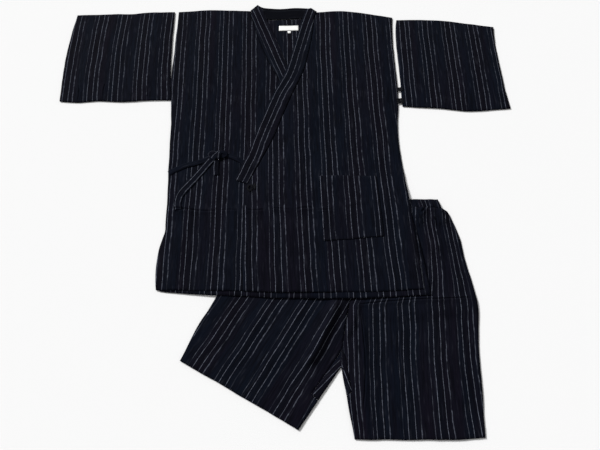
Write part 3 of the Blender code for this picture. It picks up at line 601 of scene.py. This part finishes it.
class Sheet:
    """The upper side of a piece of cloth: its points, faces, rim and neighbours."""

    def __init__(self, node, step):
        tree, rim = main_rim(node)
        fine = finer_rim(rim, step)
        inner = lattice(fine[:, :2], step)
        if step < FINE_MESH:
            inner = with_creases(inner, fine[:, :2], group_of(node.name))
        flat = [Vector(point) for point in np.concatenate([fine[:, :2], inner])]
        count = len(fine)
        edges = [(k, (k + 1) % count) for k in range(count)]
        found, _, faces, origins, *_ = delaunay_2d_cdt(flat, edges, [], 1, SAME_POINT)
        self.xy = np.array([tuple(point) for point in found])
        self.faces = turned_up(self.xy, np.array(faces))
        self.on_rim = np.array([bool(origin) and min(origin) < count for origin in origins])
        guess = float(fine[:, 2].mean())
        heights = [
            fine[min(origin), 2] if edge else height_on(tree, *point, guess)
            for point, origin, edge in zip(self.xy, origins, self.on_rim)
        ]
        self.z = np.array(heights)
        pairs = np.concatenate([self.faces[:, [0, 1]], self.faces[:, [1, 2]], self.faces[:, [2, 0]]])
        self.pairs = np.unique(np.sort(pairs, axis=1), axis=0)
        self.rim = fine[:, :2]

    def smooth(self, rounds):
        """Evens out the facets of the solid."""
        a, b = self.pairs[:, 0], self.pairs[:, 1]
        both_rim = self.on_rim[a] & self.on_rim[b]
        into_a = np.where(self.on_rim[a], both_rim, 1.0)
        into_b = np.where(self.on_rim[b], both_rim, 1.0)
        for _ in range(rounds):
            total = np.zeros_like(self.z)
            share = np.zeros_like(self.z)
            for here, there, into in ((a, b, into_a), (b, a, into_b)):
                np.add.at(total, here, self.z[there] * into)
                np.add.at(share, here, into)
            self.z = (1 - SMOOTHING) * self.z + SMOOTHING * total / np.maximum(share, SAME_POINT)

    def flutter(self):
        """Makes the edges and stripes slightly wavy, the same way in all pieces that lie at a place."""
        self.flat_xy, self.flat_rim = self.xy, self.rim
        self.xy, self.rim = fluttered(self.xy), fluttered(self.rim)

    def tree(self):
        """The upper side as a tree for rays."""
        points = [Vector((*flat, z)) for flat, z in zip(self.xy, self.z)]
        return BVHTree.FromPolygons(points, self.faces.tolist())


def noise_at(x, y, z):
    """An even noise about zero at each place."""
    places = np.stack(np.broadcast_arrays(x, y, z), axis=1)
    return np.array([noise.noise(place) for place in places.tolist()])


def fluttered(xy):
    """The places, each moved a little sideways by an even noise."""
    moved = xy.copy()
    for to_a_metre, reach in FLUTTERS:
        for axis, seed in enumerate(FLUTTER_SEEDS):
            moved[:, axis] += reach * noise_at(*(xy * to_a_metre).T, seed)
    return moved


def crease_line(crease):
    """The bowed line that a crease runs along."""
    start, end = np.array([crease.x0, crease.y0]), np.array([crease.x1, crease.y1])
    run = end - start
    across = np.array([-run[1], run[0]])
    share = np.linspace(0.0, 1.0, CREASE_PARTS + 1)[:, None]
    return start + run * share + across * crease.bow * 4 * share * (1 - share)


def with_creases(inner, outline, group):
    """The inner points of a mesh, with rows of close points along each sharp crease."""
    for crease in CREASES[group]:
        if not crease.groove:
            continue
        line = crease_line(crease)
        beside = crease.groove * GROOVE_ROWS[-1]
        inner = inner[to_line(inner, line)[0] > beside + NEAR_EDGE * CREASE_STEP]
        run = np.linalg.norm(np.diff(line, axis=0), axis=1).sum()
        parts = math.ceil(run / CREASE_STEP)
        share = np.linspace(0.0, CREASE_PARTS, parts + 1)
        spine = np.stack([np.interp(share, range(CREASE_PARTS + 1), line[:, k]) for k in (0, 1)], axis=1)
        across = left_of(unit(np.gradient(spine, axis=0)))
        rows = np.concatenate([spine + across * crease.groove * row for row in GROOVE_ROWS])
        rows = rows[within(rows, outline)]
        rows = rows[to_line(rows, outline, True)[0] > CREASE_CLEAR]
        inner = np.concatenate([inner, rows])
    return inner


def crease_rise(xy, group):
    """How far the creases of a group lift the cloth at each point."""
    rise = np.zeros(len(xy))
    for crease in CREASES[group]:
        line = crease_line(crease)
        away, along = to_line(xy, line)
        share = along / np.linalg.norm(np.diff(line, axis=0), axis=1).sum()
        reach = np.clip(1 - (away / crease.half_width) ** 2, 0, None)
        ridge = reach**2
        if crease.groove:
            ridge -= np.exp(-((away / crease.groove) ** 2))
        ends = np.clip(np.minimum(share, 1 - share) / CREASE_END, 0, 1) ** 0.5 * np.sqrt(reach)
        rise += crease.rise * ridge * ends
    return rise


def gather_rise(xy, group):
    """How far the gathers of a drawn-in seam lift the cloth at each point."""
    rise = np.zeros(len(xy))
    for gather in GATHERS:
        if gather.group != group:
            continue
        away, along = to_line(xy, np.array([gather[1:3], gather[3:5]]))
        near = np.nonzero(away < gather.reach)[0]
        waves = noise_at(along[near] * gather.to_a_metre, away[near] * GATHER_DRIFT, gather.x0)
        fade = (1 - (away[near] / gather.reach) ** 2) ** 2
        rise[near] = np.maximum(rise[near], gather.rise * (LIFT + waves) * fade)
    return rise


def swell_rise(xy, group):
    """The cloth's slight unevenness at each point, the same for all pieces of a group."""
    rise = np.zeros(len(xy))
    for to_a_metre, height in SWELLS:
        rise += height * (LIFT + noise_at(*(xy * to_a_metre).T, len(group)))
    return rise


def edge_rise(sheet, name):
    """How far turned-up and stitched edges lift a piece, with the puckers along their stitches."""
    rise = np.zeros(len(sheet.xy))
    for edge in EDGES:
        if edge.node != name:
            continue
        away, along = to_line(sheet.xy, edge_run(sheet.rim, *edge[1:5]))
        folded = np.clip((edge.folded - away) / FOLDED_EASE, 0, 1)
        pucker = noise_at(along * PUCKERS_TO_A_METRE, edge.x0, 0.0)
        near = np.exp(-(((away - edge.inset) / PUCKER_REACH) ** 2))
        rise = np.maximum(rise, FOLDED_RISE * folded + PUCKER_RISE * near * (LIFT + pucker))
    return rise


def turned_up(xy, faces):
    """The triangles, each with its corners in the order that turns its front up."""
    a, b, c = (xy[faces[:, k]] for k in range(3))
    (bx, by), (cx, cy) = (b - a).T, (c - a).T
    under = bx * cy - by * cx <= 0
    faces[under] = faces[under, ::-1]
    return faces


def clear_of(sheet, below):
    """Raises a sheet wherever it would touch what lies below it or the floor."""
    least = np.full(len(sheet.z), SHELL + FLOOR_CLEAR)
    for tree, (low, high) in below:
        for k in np.nonzero(((sheet.xy > low) & (sheet.xy < high)).all(1))[0]:
            hit = drop(tree, *sheet.xy[k])
            if hit is not None:
                least[k] = max(least[k], hit.z + SHELL + CLEAR)
    sheet.z = np.maximum(sheet.z, least)


def edge_run(rim, x0, y0, x1, y1):
    """The stretch of a rim between the points nearest to two places."""
    start = int(np.argmin(np.linalg.norm(rim - (x0, y0), axis=1)))
    end = int(np.argmin(np.linalg.norm(rim - (x1, y1), axis=1)))
    if end < start:
        end += len(rim)
    return rim[np.arange(start, end + 1) % len(rim)]


def cut_places(points, kind, rim):
    """Each point's place across and along the cloth."""
    if kind in GUIDES:
        guide = GUIDES[kind]
        away, along = to_line(points, edge_run(rim, *guide[:4]))
        return np.stack([guide.at_edge + guide.way * away, along], axis=1)
    if kind == "leg_right":
        return np.stack([chart_across(points, LEG_RIGHT_ROWS), points[:, 1]], axis=1)
    if kind == "gusset":
        left = cut_places(points, "gusset_left", rim)
        right = cut_places(points, "gusset_right", rim)
        return np.where(points[:, :1] < GUSSET_MIDDLE, left, right)
    g = GRAINS[kind]
    x, y = points[:, 0], points[:, 1]
    across = g.start + g.across * x + g.along * y + g.twist * x * y + g.bend * y * y
    for pull in PULLS:
        if pull.grain == kind:
            away, along = to_line(points, np.array([pull[1:3], pull[3:5]]))
            share = along / math.dist(pull[1:3], pull[3:5])
            shift = pull.at_start + (pull.at_end - pull.at_start) * share
            fade = np.clip((1 - share) / PULL_END, 0, 1)
            across += shift * fade * fade * (3 - 2 * fade) * np.exp(-((away / pull.reach) ** 2))
    return np.stack([across, g.across * y - g.along * x], axis=1)


def chart_across(points, rows):
    """Each point's place across the cloth, from rows that say where each repeat's first line is."""
    places = []
    for _, *line in rows:
        before = line[0] - (line[1] - line[0]) * FAR_REPEATS
        after = line[-1] + (line[-1] - line[-2]) * FAR_REPEATS
        numbers = [-FAR_REPEATS, *range(len(line)), len(line) - 1 + FAR_REPEATS]
        places.append(np.interp(points[:, 0], [before, *line, after], numbers))
    share = np.interp(points[:, 1], [row[0] for row in rows], range(len(rows)))
    low = np.minimum(share.astype(int), len(rows) - 2)
    places = np.array(places)
    own = np.arange(len(points))
    return REPEAT * (places[low, own] * (1 - share + low) + places[low + 1, own] * (share - low))


def make_shell(cloth, sheet, finish):
    """A closed shell a wall thick under the sheet's upper side, with its cut as a map."""
    count = len(sheet.xy)
    top = sheet.z - np.where(sheet.on_rim, EDGE_SINK, 0.0)
    points = [(x, y, z) for (x, y), z in zip(sheet.xy, top)]
    points += [(x, y, z - SHELL) for (x, y), z in zip(sheet.xy, sheet.z)]
    faces = sheet.faces.tolist()
    edges = {(f[k], f[(k + 1) % 3]) for f in faces for k in range(3)}
    sides = [(b, a, a + count, b + count) for a, b in sorted(edges) if (b, a) not in edges]
    under = [[k + count for k in reversed(f)] for f in faces]
    places = cut_places(sheet.flat_xy, cloth.grain, sheet.flat_rim)
    return add_mesh(cloth.node + "_cloth", points, faces + under + sides, finish, np.tile(places, (2, 1)))


def add_object(name, data):
    """An object in the scene, from its data."""
    made = bpy.data.objects.new(name, data)
    bpy.context.scene.collection.objects.link(made)
    return made


def add_mesh(name, points, faces, finish, places=None):
    """An object from its points and faces, with its cut as a map if it has one."""
    mesh = bpy.data.meshes.new(name)
    mesh.from_pydata([tuple(point) for point in points], [], faces)
    mesh.update()
    if places is not None:
        corners = np.empty(len(mesh.loops), dtype=np.int32)
        mesh.loops.foreach_get("vertex_index", corners)
        layer = mesh.uv_layers.new(name="cut")
        layer.data.foreach_set("uv", np.asarray(places, dtype=np.float32)[corners].ravel())
    mesh.shade_smooth()
    mesh.materials.append(finish)
    return add_object(name, mesh)


class Graph:
    """A material's nodes, added one call each."""

    def __init__(self, name):
        self.material = bpy.data.materials.new(name)
        self.material.use_nodes = True
        self.tree = self.material.node_tree
        self.shader = self.tree.nodes["Principled BSDF"]

    def put(self, socket, value):
        """Gives an input its value, or links it to the output that gives it."""
        if isinstance(value, bpy.types.NodeSocket):
            self.tree.links.new(value, socket)
        else:
            socket.default_value = value

    def node(self, kind, inputs, **settings):
        """A new node with its settings and inputs."""
        made = self.tree.nodes.new(kind)
        for key, value in settings.items():
            setattr(made, key, value)
        for key, value in inputs.items():
            self.put(made.inputs[key], value)
        return made

    def math(self, operation, *values):
        """What an operation makes of the values."""
        return self.node("ShaderNodeMath", dict(enumerate(values)), operation=operation).outputs[0]

    def band(self, value, low, high, start=0.0, end=1.0):
        """The value eased from one level to another between two bounds."""
        inputs = {"Value": value, "From Min": low, "From Max": high, "To Min": start, "To Max": end}
        return self.node("ShaderNodeMapRange", inputs, interpolation_type="SMOOTHSTEP").outputs[0]

    def cut(self):
        """Where a point is across and along the cloth."""
        place = self.node("ShaderNodeUVMap", {}, uv_map="cut").outputs[0]
        return self.node("ShaderNodeSeparateXYZ", {"Vector": place}).outputs[:2]

    def noise(self, run, across, along):
        """A noise that runs with the cloth."""
        x = self.math("MULTIPLY", across, run.across)
        y = self.math("MULTIPLY", along, run.along)
        vector = self.node("ShaderNodeCombineXYZ", {"X": x, "Y": y, "Z": run.seed}).outputs[0]
        inputs = {"Vector": vector, "Scale": 1.0, "Detail": run.detail}
        return self.node("ShaderNodeTexNoise", inputs).outputs["Fac"]

    def weave(self, across, along, warp_step, weft_step):
        """The height of a plain weave."""
        warp = self.math("SINE", self.math("MULTIPLY", across, math.tau / warp_step))
        weft = self.math("SINE", self.math("MULTIPLY", along, math.tau / weft_step))
        return self.math("MULTIPLY", warp, weft)

    def mix(self, share, first, second):
        """A share of the second colour in the first."""
        inputs = dict(zip(MIX_INPUTS, (share, first, second)))
        return self.node("ShaderNodeMix", inputs, data_type="RGBA").outputs[MIX_OUTPUT]

    def set(self, name, value):
        """Gives the shader one of its inputs."""
        self.put(self.shader.inputs[name], value)

    def bump(self, height, distance, strength):
        """Gives the shader a height."""
        inputs = {"Height": height, "Distance": distance, "Strength": strength}
        self.set("Normal", self.node("ShaderNodeBump", inputs).outputs[0])


def pale_lines(g, across, along):
    """How much of a pale slub line is at a point, and its place in the repeat."""
    drift = g.math("SUBTRACT", g.noise(DRIFT, across, along), NOISE_MIDDLE)
    across_now = g.math("ADD", across, g.math("MULTIPLY", drift, DRIFT_REACH))
    repeats = g.math("ADD", g.math("DIVIDE", across_now, REPEAT), 0.5)
    number = g.math("FLOOR", repeats)
    place = g.math("MULTIPLY", g.math("SUBTRACT", g.math("FRACT", repeats), 0.5), REPEAT)
    lines = 0.0
    for k, line in enumerate(LINES):
        own = g.math("MULTIPLY_ADD", number, REPEAT_SEED, LINE_SEED * k)
        sway = g.math("SUBTRACT", g.noise(SWAY, own, along), NOISE_MIDDLE)
        swing = g.math("MULTIPLY_ADD", sway, 2 * line.wobble, line.place)
        away = g.math("ABSOLUTE", g.math("SUBTRACT", place, swing))
        wide = g.math("MULTIPLY", g.band(g.noise(SWELLING, own, along), *SWELL_BAND), line.width / 2)
        mask = g.band(g.math("DIVIDE", away, wide), *EDGE_BAND)
        level = BREAK_LEVEL - BREAK_EVENNESS * line.evenness
        worn = WORN_LEAST + WORN_EVENNESS * line.evenness**3
        shown = g.band(g.noise(BREAKS, own, along), level - BREAK_EASE, level + BREAK_EASE, worn, 1.0)
        mask = g.math("MULTIPLY", g.math("MULTIPLY", mask, shown), line.strength)
        lines = g.math("MAXIMUM", lines, mask)
    return lines, place


def tinted(g, ground, across, along, tints):
    """The ground with each tint in it."""
    for tint in tints:
        share = g.band(g.noise(tint.run, across, along), tint.low, tint.high, 0.0, tint.most)
        ground = g.mix(share, ground, tint.colour)
    return ground


def striped_cotton(name, painted_shade):
    """Dark crepe cotton with thin pale slub lines in fours, on bands of blue, plum and black warp, darkened
    towards black by a share of painted shade.
    """
    g = Graph(name)
    across, along = g.cut()
    lines, place = pale_lines(g, across, along)
    ground = tinted(g, BLUE, across, along, BROAD_TINTS)
    between = g.math("ABSOLUTE", g.math("SUBTRACT", place, PAIR_MIDDLE))
    ground = g.mix(g.band(between, *PAIR_BAND), ground, BLACK)
    ground = tinted(g, ground, across, along, FINE_TINTS)
    pale = g.mix(g.band(g.noise(SLUBS, across, along), *SLUB_LEVELS), DULL, PALE)
    # A share of painted shade darkens the whole finish towards black
    g.set("Base Color", g.mix(painted_shade, g.mix(lines, ground, pale), BLACK))
    g.set("Roughness", g.band(g.noise(STREAKS, across, along), *ROUGHNESS_BAND))
    for key, value in COTTON.items():
        g.set(key, value)
    weave = g.weave(across, along, *COTTON_STEPS)
    height = g.math("MULTIPLY_ADD", weave, WEAVE_HEIGHT, g.noise(CREPE, across, along))
    g.bump(g.math("MULTIPLY_ADD", lines, LINE_HEIGHT, height), *COTTON_BUMP)
    return g.material


def woven_tape():
    """Plain white woven tape."""
    g = Graph("woven_tape")
    across, along = g.cut()
    g.set("Base Color", g.mix(g.band(g.noise(SPOTS, across, along), *TAPE_LEVELS), TAPE_SHADE, TAPE))
    g.set("Roughness", TAPE_ROUGHNESS)
    g.bump(g.weave(across, along, *TAPE_STEPS), *TAPE_BUMP)
    return g.material


def plain_finish(name, colour, roughness):
    """A matt finish with a little unevenness."""
    g = Graph(name)
    place = g.node("ShaderNodeTexCoord", {}).outputs["Object"]
    grain = g.node("ShaderNodeTexNoise", {"Vector": place, **PLAIN_NOISE}).outputs["Fac"]
    deep = (*(c * PLAIN_DEPTH for c in colour[:3]), 1.0)
    g.set("Base Color", g.mix(grain, deep, colour))
    g.set("Roughness", roughness)
    g.set("Specular IOR Level", PLAIN_SPECULAR)
    g.bump(grain, *PLAIN_BUMP)
    return g.material


def dress_cloths(frame):
    """Makes every piece of cloth, from the lowest up, and gives the sheets for what lies on them."""
    finishes = {
        "stripe": striped_cotton("striped_cotton", 0.0),
        # A copy of the striped cotton darkened towards black: painted shade for the inside of the back neck
        "inside": striped_cotton("striped_cotton_inside", PAINTED_SHADE_DEPTH),
        "label": woven_tape(),
    }
    sheets, below = {}, []
    for cloth in CLOTHS:
        sheet = Sheet(frame["nodes"][cloth.node], cloth.step)
        sheet.smooth(cloth.rounds)
        group = group_of(cloth.node)
        sheet.z += crease_rise(sheet.xy, group) + gather_rise(sheet.xy, group) + swell_rise(sheet.xy, group)
        sheet.z += edge_rise(sheet, cloth.node)
        sheet.flutter()
        clear_of(sheet, below)
        tree = sheet.tree()
        sheets[cloth.node] = (sheet, tree)
        below.append((tree, (sheet.xy.min(0), sheet.xy.max(0))))
        finish, slot = KINDS[cloth.kind]
        made = make_shell(cloth, sheet, finishes[finish])
        finish_piece(made, slot, cloth.node)
    return sheets, finishes["stripe"]


def finish_piece(made, slot, *nodes):
    """Says what a piece rides on and hides the solids that it stands for; its slot is not used."""
    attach(made, "root")
    if nodes:
        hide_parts(*nodes)


def stitch_places(sheet, tree, edge, covered):
    """The middle and direction of each stitch along an edge, where nothing covers it."""
    run = edge_run(sheet.rim, *edge[1:5])
    line = run + left_of(unit(np.gradient(run, axis=0))) * edge.inset
    passed = passed_on(line)
    found = []
    for k in range(int(passed[-1] / STITCH_STEP)):
        at = (k + 0.5) * STITCH_STEP
        reach = (at - STITCH_HALF, at + STITCH_HALF)
        start, end = np.stack([np.interp(reach, passed, line[:, n]) for n in (0, 1)], axis=1)
        middle = (start + end) / 2
        hit = drop(tree, *middle)
        if hit is not None and not covered(middle, hit.z):
            found.append((np.array([*middle, hit.z]), unit((end - start)[None, :])[0]))
    return found


def add_stitches(sheets, finish):
    """Thread along every stitched edge, each stitch a short spindle half sunk in the cloth."""

    def covered(middle, height):
        for _, tree in sheets.values():
            hit = drop(tree, *middle)
            if hit is not None and hit.z > height + STITCH_THICK:
                return True
        return False

    points, faces = [], []
    up = np.array([0.0, 0.0, 1.0])
    for edge in EDGES:
        for middle, along in stitch_places(*sheets[edge.node], edge, covered):
            run = np.array([*along, 0.0])
            side = np.array([-along[1], along[0], 0.0])
            first = len(points)
            for reach, thick in SPINDLE:
                centre = middle + run * STITCH_HALF * reach
                for a, b in SPINDLE_SIDES:
                    points.append(centre + (side * a + up * b) * STITCH_THICK * thick)
            join_rings(faces, first, len(SPINDLE), len(SPINDLE_SIDES))
    finish_piece(add_mesh("stitches", points, faces, finish), "thread")


def join_rings(faces, first, rings, sides):
    """Faces from each ring of points to the next, and one over each end."""
    for ring in range(rings - 1):
        start = first + ring * sides
        for n in range(sides):
            a, b = start + n, start + (n + 1) % sides
            faces.append((a, b, b + sides, a + sides))
    last = first + (rings - 1) * sides
    faces.append(tuple(reversed(range(first, first + sides))))
    faces.append(tuple(range(last, last + sides)))


def add_band(points, faces, places, path, width, wall, start=0.0):
    """A strip of folded cloth or thread along a path, its width level."""
    path = np.array(path)
    tangent = unit(np.gradient(path, axis=0))
    side = unit(np.cross((0.0, 0.0, 1.0), tangent))
    normal = np.cross(tangent, side)
    passed = passed_on(path)
    first = len(points)
    for k, centre in enumerate(path):
        for n in range(BAND_SIDES):
            angle = math.tau * n / BAND_SIDES
            across = math.copysign(abs(math.cos(angle)) ** BAND_SQUARE, math.cos(angle)) * width / 2
            points.append(centre + side[k] * across + normal[k] * math.sin(angle) * wall / 2)
            places.append((start + across, passed[k]))
    join_rings(faces, first, len(path), BAND_SIDES)


def smooth_path(corners, parts):
    """A smooth path through a few points."""
    corners = np.array(corners)
    padded = np.concatenate([2 * corners[:1] - corners[1:2], corners, 2 * corners[-1:] - corners[-2:-1]])
    path = []
    for k in range(len(corners) - 1):
        a, b, c, d = padded[k : k + 4]
        for part in range(parts):
            t = part / parts
            out, into = (c - a) / 2, (d - b) / 2
            bend = 3 * (c - b) - 2 * out - into + t * (2 * (b - c) + out + into)
            path.append(b + t * (out + t * bend))
    path.append(corners[-1])
    return path


def dress_knot(finish):
    """The knot: two small loops, the ties that run into it and two turns of cloth about its middle."""
    low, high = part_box("tie_knot")
    points, faces, places = [], [], []
    middle = [(low[0] + high[0]) / 2, (low[1] + high[1]) / 2]
    tall = high[2] - low[2]
    for width, start, path in KNOT_STRIPS:
        corners = [(middle[0] + x, middle[1] + y, low[2] + rise * tall) for x, y, rise in path]
        add_band(points, faces, places, smooth_path(corners, PATH_PARTS), width, KNOT_WALL, start)
    made = add_mesh("tie_knot_cloth", points, faces, finish, places)
    finish_piece(made, "tie_cloth", "tie_knot")


def dress_bars(finish):
    """The thread bars: strands that cross from the top's edge to the sleeve's."""
    for number in (1, 2):
        name = f"thread_bar_{number}"
        low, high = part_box(name)
        points, faces, places = [], [], []
        rise = high[2] + BAR_LIFT
        for left, right in BAR_THREADS:
            start, end = (low[1] + share * (high[1] - low[1]) for share in (left, right))
            corners = [
                (low[0] - BAR_REACH, start, rise),
                (low[0], start, rise),
                ((low[0] + high[0]) / 2, (start + end) / 2, rise - BAR_SAG),
                (high[0], end, rise),
                (high[0] + BAR_REACH, end, rise),
            ]
            path = smooth_path(corners, PATH_PARTS)
            add_band(points, faces, places, path, THREAD_WIDTH, THREAD_WIDTH)
        finish_piece(add_mesh(name + "_strands", points, faces, finish), "thread", name)


def dress_tacks(sheets, finish):
    """Small rings of dark thread beside the collar's end, where the inner tie is sewn on."""
    tree = sheets["front_over"][1]
    points, faces, places = [], [], []
    for tack in TACKS:
        for turn in range(tack.turns):
            path = []
            for k in range(TACK_SIDES):
                angle = math.tau * k / TACK_SIDES
                x = tack.x + (tack.half_width + turn * TACK_STEP) * math.cos(angle)
                y = tack.y + (tack.half_height + turn * TACK_STEP) * math.sin(angle)
                path.append((x, y, height_on(tree, x, y, 0.0) + TACK_LIFT))
            add_band(points, faces, places, [*path, path[0]], TACK_WIDTH, TACK_WIDTH)
    finish_piece(add_mesh("tacks", points, faces, finish), "thread")


def make_camera():
    """A camera at the picture's angle to the cloth."""
    back = (CAMERA_PLACE - CAMERA_AIM).normalized()
    right = CAMERA_UP.cross(back).normalized()
    up = back.cross(right)
    data = bpy.data.cameras.new("camera")
    data.lens = CAMERA_LENS
    data.clip_start = CAMERA_NEAR
    made = add_object("camera", data)
    turn = Matrix((right, up, back)).transposed().to_4x4()
    made.matrix_world = Matrix.Translation(CAMERA_PLACE) @ turn
    bpy.context.scene.camera = made


def make_stage():
    """A pale floor, even light from all round, and a soft lamp from the upper left."""
    scene = bpy.context.scene
    scene.view_settings.view_transform = "Standard"
    paper = plain_finish("floor_paper", FLOOR, FLOOR_ROUGHNESS)
    corners = [(x * FLOOR_HALF, y * FLOOR_HALF, 0) for x, y in ((-1, -1), (1, -1), (1, 1), (-1, 1))]
    floor = add_mesh("floor", corners, [(0, 1, 2, 3)], paper)
    floor.location.z = -FLOOR_SINK
    world = bpy.data.worlds.new("studio")
    world.use_nodes = True
    sky = world.node_tree.nodes["Background"].inputs
    sky["Color"].default_value = WHITE
    sky["Strength"].default_value = SKY_STRENGTH
    scene.world = world
    data = bpy.data.lights.new("lamp", "SUN")
    data.angle = LAMP_ANGLE
    data.energy = LAMP_ENERGY
    add_object("lamp", data).rotation_euler = LAMP_WAY.to_track_quat("-Z", "Y").to_euler()


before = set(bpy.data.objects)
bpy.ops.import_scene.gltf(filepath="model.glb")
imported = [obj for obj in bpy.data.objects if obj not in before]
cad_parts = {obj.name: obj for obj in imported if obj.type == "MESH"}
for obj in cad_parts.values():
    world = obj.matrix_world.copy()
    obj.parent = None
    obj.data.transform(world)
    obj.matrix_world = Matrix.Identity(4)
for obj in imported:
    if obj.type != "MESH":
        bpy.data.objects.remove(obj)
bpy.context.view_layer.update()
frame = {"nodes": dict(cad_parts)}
make_camera()
make_stage()
sheets, striped = dress_cloths(frame)
dress_knot(striped)
thread = plain_finish("thread", THREAD, THREAD_ROUGHNESS)
dress_bars(thread)
dress_tacks(sheets, thread)
add_stitches(sheets, thread)
